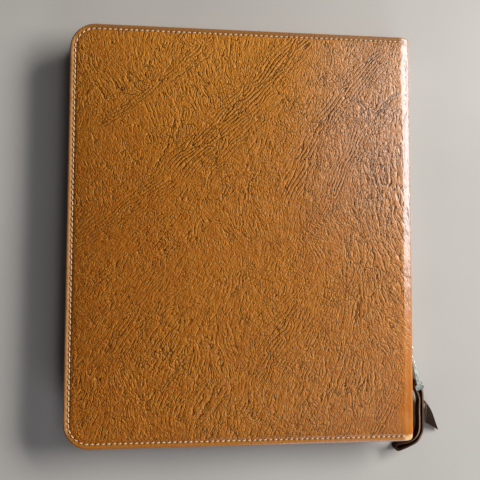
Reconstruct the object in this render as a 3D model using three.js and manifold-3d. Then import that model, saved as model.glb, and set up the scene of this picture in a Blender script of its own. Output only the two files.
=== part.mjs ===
// Leather sleeve bag lying on its back: two leather panels, a gusset round three sides,
// and a zip in the fourth side with a metal puller and a leather pull loop.
// Millimetres. +X points to the zip side, +Y along the zip, +Z up. Origin under the back panel's middle.
import * as THREE from 'three';
import { mergeVertices } from 'three/addons/utils/BufferGeometryUtils.js';
import { ConvexGeometry } from 'three/addons/geometries/ConvexGeometry.js';
import Module from 'manifold-3d';

const wasm = await Module();
wasm.setup();

// ---------------------------------------------------------------- driving sizes
const WIDTH = 220;                 // X, left margin edge to zip-side shoulder
const LENGTH = 263;                // Y, over the stitched edges
const LEATHER = 2.0;               // panel wall
const GUSSET_LEATHER = 1.2;        // thinner leather of the side wall
const GAP = 0.3;                   // clearance between neighbouring pieces
const CORNER_LEFT = 16;            // plan radius of the two corners away from the zip
const CORNER_ZIP = 3.6;            // plan radius of the two corners beside the zip
const MARGIN = 3.5;                // flat margin from the edge to the stitch line
const MARGIN_Z = 16.5;             // top of the front panel along its stitched margin
const DOME = 3.5;                  // rise of the front panel's middle above the margin
const RISE_NEAR = { share: 0.35, reach: 6 };     // quick rise just inside the stitches
const RISE_FAR = { share: 0.65, reach: 80 };     // slow rise towards the middle
const SHOULDER = { reach: 7.5, z: 12.1, lip: 0.4 };      // front panel's roll at the zip side
const BACK_ROLL = { radius: 3.6, lip: 0.7 };             // back panel's roll at the zip side
const FLANGE = 4.6;                // gusset flange width
const GUSSET_BOW = 1.0;            // inward bow of the gusset wall
const ZIP_Z = 8.0;                 // height of the zip's middle line
const TAPE = { x0: 106.5, x1: 107.4, inner: 2.5, front_top: 13.6, back_low: 2.8, end: 122 };
const CHAIN = { x0: 105.75, x1: 108.15, half: 2.2 };
const SLIDER = { y_top: -70, y_low: -81, half_top: 2.9, half_low: 3.3, plate: 1.15, post: 1.4,
  post_length: 2.2, bail_width: 1.4, bail_wire: 1.1, bail_clear: 2.2 };
const PULLER = { pivot: [110.75, -77.2, 8.0], bar: [116.1, -98.5, 5.2], half_pivot: 1.95, half_bar: 4.7, hole_pivot: 1.05,
  hole_bar: 3.75, end_bar: 0.95, thick_pivot: 1.2, thick_bar: 3.0, bar_radius: 1.1, cap_through: 2.9, cap_along: 1.9 };
const STRAP = { thick: 1.3, width: 5.6, rest_z: 0.35, lift: 1.9, lift_from: -120, lift_to: -100 };   // lifts off the floor towards the bar
const TAIL_THICK = 1.3;

const HX = WIDTH / 2, HY = LENGTH / 2;
const SHOULDER_X = HX - SHOULDER.reach;        // where the front panel starts to roll
const BACK_ROLL_X = HX - BACK_ROLL.radius;

// shallow dents and swells of the front panel
const SOFT_SPOTS = [
  { x: -62, y: 78, spread: 30, height: -0.45 },
  { x: 20, y: 52, spread: 44, height: 0.4 },
  { x: -30, y: -48, spread: 38, height: 0.35 },
  { x: 55, y: -70, spread: 34, height: -0.5 },
  { x: 70, y: 95, spread: 26, height: -0.3 },
];

// section of the front panel's roll, as shares of its reach and of its height: a short bend, a sloping shoulder, then a round turn
const SHOULDER_SECTION = [
  { out: 0, up: 1 }, { out: 0.05, up: 0.9955 }, { out: 0.1, up: 0.982 }, { out: 0.16, up: 0.957 }, { out: 0.3, up: 0.885 },
  { out: 0.47, up: 0.797 }, { out: 0.627, up: 0.716 }, { out: 0.758, up: 0.622 }, { out: 0.867, up: 0.486 },
  { out: 0.947, up: 0.316 }, { out: 0.987, up: 0.15 }, { out: 1, up: 0 },
];

// opening of the two tooth rows below the slider
const PARTING = [
  { y: -72.9, gap: 0.0 }, { y: -76, gap: 0.9 }, { y: -79, gap: 2.1 }, { y: -84, gap: 2.4 },
  { y: -96, gap: 2.7 }, { y: -110, gap: 2.1 }, { y: -122, gap: 1.0 },
];

// centre line of the pull loop, seen from above, from the bar's inner side round and back
const LOOP_ROUTE = [
  { x: 115.9, y: -103.0 }, { x: 117.2, y: -106.8 }, { x: 117.5, y: -113.0 }, { x: 117.8, y: -122.0 }, { x: 117.3, y: -128.6 },
  { x: 114.6, y: -133.2 }, { x: 110.6, y: -135.5 }, { x: 106.2, y: -136.4 }, { x: 102.8, y: -136.9 },
  { x: 101.1, y: -138.7 }, { x: 102.6, y: -140.5 }, { x: 106.4, y: -139.6 }, { x: 111.2, y: -137.7 },
  { x: 115.9, y: -135.1 }, { x: 119.2, y: -129.9 }, { x: 119.9, y: -122.0 }, { x: 119.8, y: -113.0 },
  { x: 119.4, y: -106.8 }, { x: 119.0, y: -102.8 },
];

// the pointed tail: its upper edge beside the loop and its lower edge on the floor
const TAIL_EDGES = [
  { upper: [121.6, -109.4, 6.8], lower: [122.1, -109.6, 1.2] },
  { upper: [121.6, -112.0, 6.6], lower: [124.8, -112.6, 1.15] },
  { upper: [121.6, -116.0, 6.3], lower: [127.7, -117.0, 1.1] },
  { upper: [121.7, -120.5, 6.0], lower: [130.4, -124.0, 1.0] },
  { upper: [121.8, -123.3, 5.6], lower: [132.4, -129.5, 0.9] },
];

// ---------------------------------------------------------------- colours
const TAN = { color: 0xa5682a, roughness: 0.5, metalness: 0 };
const TAN_SIDE = { color: 0x8e5622, roughness: 0.6, metalness: 0 };
const CLOTH = { color: 0x2c1d14, roughness: 0.9, metalness: 0 };
const NICKEL = { color: 0xb9b8ab, roughness: 0.35, metalness: 1 };
const DARK_LEATHER = { color: 0x3c2217, roughness: 0.55, metalness: 0 };

// ---------------------------------------------------------------- helpers
const V = (x, y, z) => new THREE.Vector3(x, y, z);
const smooth = (t) => { const c = Math.min(1, Math.max(0, t)); return c * c * (3 - 2 * c); };
const ease = (t) => { const c = Math.min(1, Math.max(0, t)); return 1 - (1 - c) * (1 - c); };

function geometryOf(points, faces) {
  const g = new THREE.BufferGeometry();
  g.setAttribute('position', new THREE.Float32BufferAttribute(points.flatMap((p) => [p.x, p.y, p.z]), 3));
  g.setIndex(faces.flat());
  return g;
}

// closed wall between two grids of points of the same size; outer faces along its right-hand normal
function wall(outer, inner) {
  const nu = outer.length, nv = outer[0].length, points = [], faces = [];
  for (const row of outer) points.push(...row);
  for (const row of inner) points.push(...row);
  const o = (i, j) => i * nv + j, n = (i, j) => nu * nv + i * nv + j;
  const quad = (a, b, c, d) => faces.push([a, b, c], [a, c, d]);
  for (let i = 0; i + 1 < nu; i++) for (let j = 0; j + 1 < nv; j++) {
    quad(o(i, j), o(i + 1, j), o(i + 1, j + 1), o(i, j + 1));
    quad(n(i, j), n(i, j + 1), n(i + 1, j + 1), n(i + 1, j));
  }
  for (let i = 0; i + 1 < nu; i++) {
    quad(o(i, 0), n(i, 0), n(i + 1, 0), o(i + 1, 0));
    quad(o(i, nv - 1), o(i + 1, nv - 1), n(i + 1, nv - 1), n(i, nv - 1));
  }
  for (let j = 0; j + 1 < nv; j++) {
    quad(o(0, j), o(0, j + 1), n(0, j + 1), n(0, j));
    quad(o(nu - 1, j), n(nu - 1, j), n(nu - 1, j + 1), o(nu - 1, j + 1));
  }
  return geometryOf(points, faces);
}

function toManifold(geometry) {
  const g = geometry.clone();
  g.deleteAttribute('normal');
  g.deleteAttribute('uv');
  const m = mergeVertices(g, 1e-5);
  return new wasm.Manifold(new wasm.Mesh({ numProp: 3,
    vertProperties: new Float32Array(m.attributes.position.array), triVerts: new Uint32Array(m.index.array) }));
}

function fromManifold(solid) {
  const mesh = solid.getMesh();
  const g = new THREE.BufferGeometry();
  g.setAttribute('position', new THREE.BufferAttribute(new Float32Array(mesh.vertProperties), 3));
  g.setIndex(new THREE.BufferAttribute(new Uint32Array(mesh.triVerts), 1));
  return g;
}

const joined = (geometries) => fromManifold(geometries.map(toManifold).reduce((a, b) => a.add(b)));

function box(x0, x1, y0, y1, z0, z1) {
  return new THREE.BoxGeometry(x1 - x0, y1 - y0, z1 - z0)
    .translate((x0 + x1) / 2, (y0 + y1) / 2, (z0 + z1) / 2);
}

// ---------------------------------------------------------------- outline and panel heights
// half length of the plan outline at a place across the bag
function halfLength(x) {
  const left = x + HX, right = x - (HX - CORNER_ZIP);
  if (left < CORNER_LEFT) return HY - CORNER_LEFT + Math.sqrt(Math.max(0, CORNER_LEFT ** 2 - (CORNER_LEFT - left) ** 2));
  if (right > 0) return HY - CORNER_ZIP + Math.sqrt(Math.max(0, CORNER_ZIP ** 2 - right ** 2));
  return HY;
}

function rise(distance) {
  const d = Math.max(0, distance - MARGIN);
  return RISE_NEAR.share * (1 - Math.exp(-d / RISE_NEAR.reach)) + RISE_FAR.share * ease(d / RISE_FAR.reach);
}

function frontHeight(x, y) {
  const fromEdges = rise(x + HX) * rise(HY - y) * rise(HY + y);
  let z = MARGIN_Z + DOME * fromEdges;
  for (const s of SOFT_SPOTS) {
    z += s.height * smooth(fromEdges * 1.4) * Math.exp(-((x - s.x) ** 2 + (y - s.y) ** 2) / (2 * s.spread ** 2));
  }
  return z;
}

// front panel's skin at a given depth under its outer face; a station is flat (x) or a row of the roll's section (turn, drop)
function frontPoint(station, across, depth) {
  if (station.turn === undefined) {
    const y = across * halfLength(station.x);
    const step = 0.5, z = frontHeight(station.x, y);
    const slope_x = (frontHeight(Math.min(SHOULDER_X, station.x + step), y) - frontHeight(Math.min(SHOULDER_X, station.x + step) - 2 * step, y)) / (2 * step);
    const slope_y = (frontHeight(station.x, y + step) - frontHeight(station.x, y - step)) / (2 * step);
    const normal = V(-slope_x, -slope_y, 1).normalize();
    return V(station.x, y, z).addScaledVector(normal, -depth);
  }
  const last = SHOULDER_SECTION.length - 1, row = SHOULDER_SECTION[station.turn];
  const y = across * halfLength(SHOULDER_X + SHOULDER.reach * row.out);
  const high = frontHeight(SHOULDER_X, y) - SHOULDER.z;
  const before = SHOULDER_SECTION[Math.max(0, station.turn - 1)], after = SHOULDER_SECTION[Math.min(last, station.turn + 1)];
  const normal = station.turn === last ? V(1, 0, 0)
    : V((before.up - after.up) * high, 0, (after.out - before.out) * SHOULDER.reach).normalize();
  return V(SHOULDER_X + SHOULDER.reach * row.out, y, SHOULDER.z + high * row.up - (station.drop || 0)).addScaledVector(normal, -depth);
}

function backPoint(station, across, depth) {
  if (station.angle === undefined) return V(station.x, across * halfLength(station.x), depth);
  const s = Math.sin(station.angle), c = Math.cos(station.angle), r = BACK_ROLL.radius;
  return V(BACK_ROLL_X + (r - depth) * s, across * halfLength(BACK_ROLL_X + r * s), r - (r - depth) * c + (station.drop || 0));
}

const ARC_STEPS = 6;
const quarter = (steps) => Array.from({ length: steps }, (_, k) => ((k + 1) / steps) * Math.PI / 2);
const cornerColumns = [{ x: -HX }, ...quarter(ARC_STEPS).map((a) => ({ x: -HX + CORNER_LEFT * (1 - Math.cos(a)) }))];

function acrossRows(distances) {
  const half = distances.map((d) => 1 - d / HY);
  return [...half.map((t) => -t), ...(half[half.length - 1] > 0 ? [0] : []), ...half.slice().reverse()];
}

const sheet = (stations, rows, pointAt, depth) => stations.map((s) => rows.map((t) => pointAt(s, t, depth)));

function frontPanel() {
  const flat = [24, 36, 52, 72, 96, 120, 144, 168, 188, 202].map((d) => ({ x: -HX + d }));
  const roll = SHOULDER_SECTION.slice(1).map((_, k) => ({ turn: k + 1 }));
  const stations = [...cornerColumns, ...flat, { x: SHOULDER_X }, ...roll, { turn: SHOULDER_SECTION.length - 1, drop: SHOULDER.lip }];
  const rows = acrossRows([0, 1.8, MARGIN, 6, 9, 13, 19, 28, 42, 62, 90]);
  return wall(sheet(stations, rows, frontPoint, 0), sheet(stations, rows, frontPoint, LEATHER));
}

function backPanel() {
  const flat = [24, 60, 110, 160, 195].map((d) => ({ x: -HX + d }));
  const roll = quarter(ARC_STEPS).map((angle) => ({ angle }));
  const stations = [...cornerColumns, ...flat, { x: BACK_ROLL_X }, ...roll, { angle: Math.PI / 2, drop: BACK_ROLL.lip }];
  const rows = acrossRows([0, 20, 70]);
  return wall(sheet(stations, rows, backPoint, LEATHER), sheet(stations, rows, backPoint, 0));
}

// ---------------------------------------------------------------- gusset
// stations along the three stitched edges, each with the outward direction in plan
function gussetStations() {
  const list = [];
  const rollRows = [10, 9, 8, 7, 6, 4];
  const straight = [102, 90, 70, 45, 20, -5, -30, -55, -80].filter((x) => x <= SHOULDER_X);
  const side = (sign) => {
    const out = V(0, sign, 0), part = [];
    for (const turn of rollRows) part.push({ front: { turn }, x: SHOULDER_X + SHOULDER.reach * SHOULDER_SECTION[turn].out, across: sign, out });
    for (const x of straight) part.push({ front: { x }, x, across: sign, out });
    for (const a of quarter(ARC_STEPS).reverse()) {
      const x = -HX + CORNER_LEFT * (1 - Math.cos(a));
      part.push({ front: { x }, x, across: sign, out: V(-Math.cos(a), sign * Math.sin(a), 0) });
    }
    return part;
  };
  list.push(...side(1));
  const end = (HY - CORNER_LEFT) / halfLength(-HX);
  for (const t of [1, 0.75, 0.5, 0.25, 0, -0.25, -0.5, -0.75, -1]) {
    list.push({ front: { x: -HX }, x: -HX, across: t * end, out: V(-1, 0, 0) });
  }
  list.push(...side(-1).reverse());
  return list;
}

function gusset() {
  const outer = [], inner = [];
  const near = LEATHER + GAP, far = near + GUSSET_LEATHER;
  for (const s of gussetStations()) {
    const back = s.x <= BACK_ROLL_X ? { x: s.x } : { angle: Math.asin(Math.min(1, (s.x - BACK_ROLL_X) / BACK_ROLL.radius)) };
    const edge = (depth) => {
      if (s.front.turn !== undefined) return frontPoint(s.front, s.across, depth);
      const p = frontPoint(s.front, s.across, 0);
      return V(p.x, p.y, MARGIN_Z - depth);
    };
    const foot = (depth) => backPoint(back, s.across, depth);
    const inward = (p, d) => p.clone().addScaledVector(s.out, -d);
    const middle = (d) => inward(edge(far).add(foot(far)).multiplyScalar(0.5), d);
    outer.push([edge(far), inward(edge(far), FLANGE), middle(FLANGE + GUSSET_BOW), inward(foot(far), FLANGE), foot(far)]);
    const wallIn = FLANGE + GUSSET_LEATHER;
    inner.push([edge(near), inward(edge(near), wallIn), middle(wallIn + GUSSET_BOW), inward(foot(near), wallIn), foot(near)]);
  }
  return wall(inner, outer);
}

// ---------------------------------------------------------------- zip
function parting(y) {
  if (y >= PARTING[0].y) return 0;
  for (let k = 0; k + 1 < PARTING.length; k++) {
    const a = PARTING[k], b = PARTING[k + 1];
    if (y <= a.y && y >= b.y) return a.gap + (b.gap - a.gap) * smooth((a.y - y) / (a.y - b.y));
  }
  return PARTING[PARTING.length - 1].gap;
}

const openStations = Array.from({ length: 25 }, (_, k) => PARTING[0].y - 0.2 + (k / 24) * (-TAPE.end - PARTING[0].y + 0.2));

// strip along Y between two heights that may change along it
function strip(ys, x0, x1, low, high) {
  const face = (x) => ys.map((y) => [V(x, y, low(y)), V(x, y, high(y))]);
  return wall(face(x1), face(x0));
}

function tapes() {
  const ys = [TAPE.end, 60, 0, -50, ...openStations].filter((y) => y >= -TAPE.end).sort((a, b) => a - b);
  return {
    front: strip(ys, TAPE.x0, TAPE.x1, (y) => ZIP_Z + TAPE.inner + parting(y) / 2, () => TAPE.front_top),
    back: strip(ys, TAPE.x0, TAPE.x1, () => TAPE.back_low, (y) => ZIP_Z - TAPE.inner - parting(y) / 2),
  };
}

function toothRows() {
  const ys = openStations.slice().sort((a, b) => a - b);
  const half = GAP / 2;
  return {
    front: strip(ys, CHAIN.x0, CHAIN.x1, (y) => ZIP_Z + half + parting(y) / 2, (y) => ZIP_Z + CHAIN.half + parting(y) / 2),
    back: strip(ys, CHAIN.x0, CHAIN.x1, (y) => ZIP_Z - CHAIN.half - parting(y) / 2, (y) => ZIP_Z - half - parting(y) / 2),
  };
}

function slider() {
  const { y_top, y_low, half_top, half_low, plate, post, post_length, bail_width, bail_wire, bail_clear } = SLIDER;
  const outerX = CHAIN.x1 + GAP, innerX = CHAIN.x0 - GAP;
  const profile = new THREE.Shape();
  const chamfer = 1.1;
  profile.moveTo(y_top, -half_top + chamfer);
  profile.lineTo(y_top, half_top - chamfer);
  profile.lineTo(y_top - chamfer, half_top);
  profile.lineTo((y_top + y_low) / 2, half_top);
  profile.lineTo(y_low + 2 * chamfer, half_low);
  profile.lineTo(y_low + chamfer, half_low);
  profile.lineTo(y_low, half_low - chamfer);
  profile.lineTo(y_low, -half_low + chamfer);
  profile.lineTo(y_low + chamfer, -half_low);
  profile.lineTo(y_low + 2 * chamfer, -half_low);
  profile.lineTo((y_top + y_low) / 2, -half_top);
  profile.lineTo(y_top - chamfer, -half_top);
  const plateAt = (x) => {
    const g = new THREE.ExtrudeGeometry(profile, { depth: plate, bevelEnabled: false });
    // shape axes (y, z) with its depth along X
    g.applyMatrix4(new THREE.Matrix4().makeBasis(V(0, 1, 0), V(0, 0, 1), V(1, 0, 0)));
    return g.translate(x, 0, ZIP_Z);
  };
  const lipDepth = outerX - TAPE.x1 - GAP;
  const lipAt = (sign) => {
    const z0 = ZIP_Z + sign * half_top, z1 = z0 - sign * 0.35;
    return box(outerX - lipDepth, outerX + plate / 2, (y_top + y_low) / 2 + 0.5, y_top - chamfer, Math.min(z0, z1), Math.max(z0, z1));
  };
  const divider = box(innerX - plate / 2, outerX + plate / 2, y_low + 0.3, y_low + 0.3 + post_length, ZIP_Z - post / 2, ZIP_Z + post / 2);
  const top = outerX + plate, bailTop = y_top - 1.6, bailLow = y_low + 1.6;
  const arch = new THREE.Shape();
  arch.moveTo(bailTop, 0);
  arch.lineTo(bailTop, bail_clear * 0.6);
  arch.quadraticCurveTo(bailTop, bail_clear + bail_wire, bailTop - bail_clear, bail_clear + bail_wire);
  arch.lineTo(bailLow + bail_clear, bail_clear + bail_wire);
  arch.quadraticCurveTo(bailLow, bail_clear + bail_wire, bailLow, bail_clear * 0.6);
  arch.lineTo(bailLow, 0);
  arch.lineTo(bailLow + bail_wire, 0);
  arch.lineTo(bailLow + bail_wire, bail_clear * 0.6);
  arch.quadraticCurveTo(bailLow + bail_wire, bail_clear, bailLow + bail_clear + 0.2, bail_clear);
  arch.lineTo(bailTop - bail_clear - 0.2, bail_clear);
  arch.quadraticCurveTo(bailTop - bail_wire, bail_clear, bailTop - bail_wire, bail_clear * 0.6);
  arch.lineTo(bailTop - bail_wire, 0);
  const bail = new THREE.ExtrudeGeometry(arch, { depth: bail_width, bevelEnabled: false, curveSegments: 4 });
  // shape axes (y, x) with its depth along Z
  bail.applyMatrix4(new THREE.Matrix4().makeBasis(V(0, 1, 0), V(1, 0, 0), V(0, 0, -1)));
  bail.translate(top - 0.2, 0, ZIP_Z + bail_width / 2);
  return joined([plateAt(outerX), plateAt(innerX - plate), divider, lipAt(1), lipAt(-1), bail]);
}

// ---------------------------------------------------------------- puller, loop and tail
// two legs that thicken from the eye to the bar, and a cap on each end of the bar
function puller() {
  const from = V(...PULLER.pivot), to = V(...PULLER.bar);
  const along = to.clone().sub(from), length = along.length();
  along.normalize();
  const up = V(0, 0, 1).addScaledVector(along, -along.z).normalize();
  const through = along.clone().cross(up);
  const { half_pivot: hp, half_bar: hb, hole_pivot: ip, hole_bar: ib, end_bar: e, bar_radius: r,
    thick_pivot: tp, thick_bar: tb, cap_through: ct, cap_along: ca } = PULLER;
  const hull = (list) => new ConvexGeometry(list.map(([u, v, w]) => V(u, v, w)));
  const both = (u, v, w) => [[u, v, w], [u, v, -w]];
  const eye = hull([...both(-e / 2, hp - 0.6, tp / 2), ...both(-e / 2, 0.6 - hp, tp / 2), ...both(0, hp, tp / 2),
    ...both(0, -hp, tp / 2), ...both(e / 2, hp, tp / 2), ...both(e / 2, -hp, tp / 2)]);
  const leg = (s) => hull([...both(0, s * ip, tp / 2), ...both(0, s * hp, tp / 2), ...both(length, s * ib, tb / 2), ...both(length, s * hb, tb / 2)]);
  const cap = (s) => hull([ib, hb].flatMap((v) => Array.from({ length: 16 }, (_, k) => {
    const a = (k / 16) * 2 * Math.PI, c = Math.cos(a), d = Math.sin(a);
    return [length + ca * Math.sign(c) * Math.abs(c) ** 0.6, s * v, ct * Math.sign(d) * Math.abs(d) ** 0.6];
  })));
  const bar = new THREE.CylinderGeometry(r, r, 2 * hb - 0.4, 14).translate(length, 0, 0);
  const solid = joined([eye, leg(1), leg(-1), cap(1), cap(-1), bar]);
  solid.applyMatrix4(new THREE.Matrix4().makeBasis(along, up, through).setPosition(from));
  return solid;
}

function pullLoop() {
  const [bx, by] = PULLER.bar;
  const turn = PULLER.bar_radius + 2.5 * GAP + STRAP.thick / 2;
  const around = [-20, 20, 55, 90, 125, 160, 200].map((a) => {
    const r = THREE.MathUtils.degToRad(a);
    return V(bx + turn * Math.cos(r), by + turn * Math.sin(r), 0);
  });
  const route = new THREE.CatmullRomCurve3([...around, ...LOOP_ROUTE.map((p) => V(p.x, p.y, 0))], true, 'centripetal');
  const count = 96, outside = [], inside = [];
  for (let k = 0; k < count; k++) {
    const p = route.getPoint(k / count), t = route.getTangent(k / count);
    const side = V(-t.y, t.x, 0).normalize().multiplyScalar(STRAP.thick / 2);
    inside.push(new THREE.Vector2(p.x + side.x, p.y + side.y));
    outside.push(new THREE.Vector2(p.x - side.x, p.y - side.y));
  }
  const shape = new THREE.Shape(outside);
  shape.holes.push(new THREE.Path(inside));
  const g = new THREE.ExtrudeGeometry(shape, { depth: STRAP.width, bevelEnabled: false });
  const p = g.attributes.position;
  for (let k = 0; k < p.count; k++) {
    const lifted = smooth((p.getY(k) - STRAP.lift_from) / (STRAP.lift_to - STRAP.lift_from));
    p.setZ(k, p.getZ(k) + STRAP.rest_z + STRAP.lift * lifted);
  }
  return g;
}

function pullTail() {
  const rows = TAIL_EDGES.map((e) => [V(...e.upper), V(...e.lower)]);
  const split = 4, mids = rows.map(([a, b]) => Array.from({ length: split + 1 }, (_, k) => a.clone().lerp(b, k / split)));
  const face = (side) => mids.map((row, i) => row.map((p, j) => {
    const du = (mids[Math.min(i + 1, mids.length - 1)][j]).clone().sub(mids[Math.max(i - 1, 0)][j]);
    const dv = row[Math.min(j + 1, split)].clone().sub(row[Math.max(j - 1, 0)]);
    return p.clone().addScaledVector(du.cross(dv).normalize(), side * TAIL_THICK / 2);
  }));
  return wall(face(1), face(-1));
}

// ---------------------------------------------------------------- scene graph
const bag = new THREE.Group();
function add(name, geometry, look) {
  const mesh = new THREE.Mesh(geometry, new THREE.MeshStandardMaterial(look));
  mesh.name = name;
  mesh.geometry.computeVertexNormals();
  bag.add(mesh);
}

const tape = tapes(), rows = toothRows();
add('front_panel', frontPanel(), TAN);
add('back_panel', backPanel(), TAN);
add('gusset', gusset(), TAN_SIDE);
add('zipper_tape_front', tape.front, CLOTH);
add('zipper_tape_back', tape.back, CLOTH);
add('zipper_chain', box(CHAIN.x0, CHAIN.x1, PARTING[0].y + 0.1, TAPE.end, ZIP_Z - CHAIN.half, ZIP_Z + CHAIN.half), NICKEL);
add('teeth_row_front', rows.front, NICKEL);
add('teeth_row_back', rows.back, NICKEL);
add('slider', slider(), NICKEL);
add('puller', puller(), NICKEL);
add('pull_loop', pullLoop(), DARK_LEATHER);
add('pull_tail', pullTail(), DARK_LEATHER);

export default bag;
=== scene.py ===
import math

import bmesh
import bpy
import numpy as np
from mathutils import Matrix, Vector


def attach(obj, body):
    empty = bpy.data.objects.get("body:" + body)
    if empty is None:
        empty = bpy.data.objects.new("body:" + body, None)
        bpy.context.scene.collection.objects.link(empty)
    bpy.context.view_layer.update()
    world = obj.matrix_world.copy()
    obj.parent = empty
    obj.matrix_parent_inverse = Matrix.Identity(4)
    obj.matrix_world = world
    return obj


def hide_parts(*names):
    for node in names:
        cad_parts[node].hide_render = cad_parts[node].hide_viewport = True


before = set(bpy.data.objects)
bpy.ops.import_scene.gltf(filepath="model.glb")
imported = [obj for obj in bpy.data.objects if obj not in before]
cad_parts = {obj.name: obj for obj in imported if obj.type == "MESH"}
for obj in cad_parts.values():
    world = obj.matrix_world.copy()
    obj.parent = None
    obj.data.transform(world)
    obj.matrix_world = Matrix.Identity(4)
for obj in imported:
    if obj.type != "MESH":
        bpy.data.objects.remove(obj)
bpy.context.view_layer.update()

scene = bpy.context.scene
MM = 0.001

# ------------------------------------------------------------------ sizes shared with the part, mm
HX, HY = 110.0, 131.5
LEATHER, GUSSET_LEATHER = 2.0, 1.2
CORNER_LEFT, CORNER_ZIP = 16.0, 3.6
MARGIN, MARGIN_Z, DOME = 3.5, 16.5, 3.5
RISE_NEAR = dict(share=0.35, reach=6.0)
RISE_FAR = dict(share=0.65, reach=80.0)
SHOULDER = dict(reach=7.5, z=12.1)
SHOULDER_X = HX - SHOULDER["reach"]
BACK_ROLL = dict(radius=3.6, lip=0.7)
BACK_ROLL_X = HX - BACK_ROLL["radius"]
FLANGE, GUSSET_BOW = 4.6, 1.0
ZIP_Z = 8.0
TAPE = dict(x0=106.5, x1=107.4, inner=2.5, front_top=13.6, back_low=2.8, end=122.0)
CHAIN = dict(x0=105.75, x1=108.15, half=2.2)
PULLER = dict(pivot=(110.75, -77.2, 8.0), bar=(116.1, -98.5, 5.2), half_pivot=1.95, half_bar=4.7, hole_pivot=1.05,
              hole_bar=3.75, end_bar=0.95, thick_pivot=1.2, thick_bar=3.0, bar_radius=1.1, cap_through=2.9, cap_along=1.9)
STRAP = dict(thick=1.3, width=5.6, rest_z=0.35, lift=1.9, lift_from=-120.0, lift_to=-100.0)
TAIL_THICK = 1.3

# shallow dents and swells of the front panel: x, y, spread, height
SOFT_SPOTS = ((-62, 78, 30, -0.45), (20, 52, 44, 0.4), (-30, -48, 38, 0.35), (55, -70, 34, -0.5), (70, 95, 26, -0.3))

# section of the front panel's roll, as shares of its reach and of its height
SHOULDER_SECTION = ((0.0, 1.0), (0.05, 0.9955), (0.10, 0.982), (0.16, 0.957), (0.30, 0.885), (0.47, 0.797), (0.627, 0.716),
                    (0.758, 0.622), (0.867, 0.486), (0.947, 0.316), (0.987, 0.150), (1.0, 0.0))
SHOULDER_HIGH = 5.5

# opening of the two tooth rows below the slider: y, gap
PARTING = ((-72.9, 0.0), (-76.0, 0.9), (-79.0, 2.1), (-84.0, 2.4), (-96.0, 2.7), (-110.0, 2.1), (-122.0, 1.0))

# centre line of the pull loop after its turn round the bar: x, y
LOOP_ROUTE = ((115.9, -103.0), (117.2, -106.8), (117.5, -113.0), (117.8, -122.0), (117.3, -128.6), (114.6, -133.2), (110.6, -135.5),
              (106.2, -136.4), (102.8, -136.9), (101.1, -138.7), (102.6, -140.5), (106.4, -139.6), (111.2, -137.7),
              (115.9, -135.1), (119.2, -129.9), (119.9, -122.0), (119.8, -113.0), (119.4, -106.8), (119.0, -102.8))

# the tail's upper edge beside the loop and lower edge on the floor
TAIL_EDGES = (((121.6, -109.4, 6.8), (122.1, -109.6, 1.2)), ((121.6, -112.0, 6.6), (124.8, -112.6, 1.15)),
              ((121.6, -116.0, 6.3), (127.7, -117.0, 1.1)), ((121.7, -120.5, 6.0), (130.4, -124.0, 1.0)),
              ((121.8, -123.3, 5.6), (132.4, -129.5, 0.9)))

# ------------------------------------------------------------------ sizes of the finer detail, mm
STITCH = dict(inset=3.4, pitch=3.3, thread=0.36, shown=0.74, shown_left=0.90, groove=0.18, end=103.6)
RIM = dict(inset=1.1, bottom_extra=0.8, steps=6)
TOOTH = dict(pitch=2.0, half=0.72, head=0.46)

# how far from its zero line a crease noise comes up to the ridge
SINK = dict(start=84.0, depth=1.3, end_run=16.0)
WIDTH_OF = dict(fine=0.46, mid=0.30, deep=0.22, lines=0.36, fold=0.40)

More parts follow.
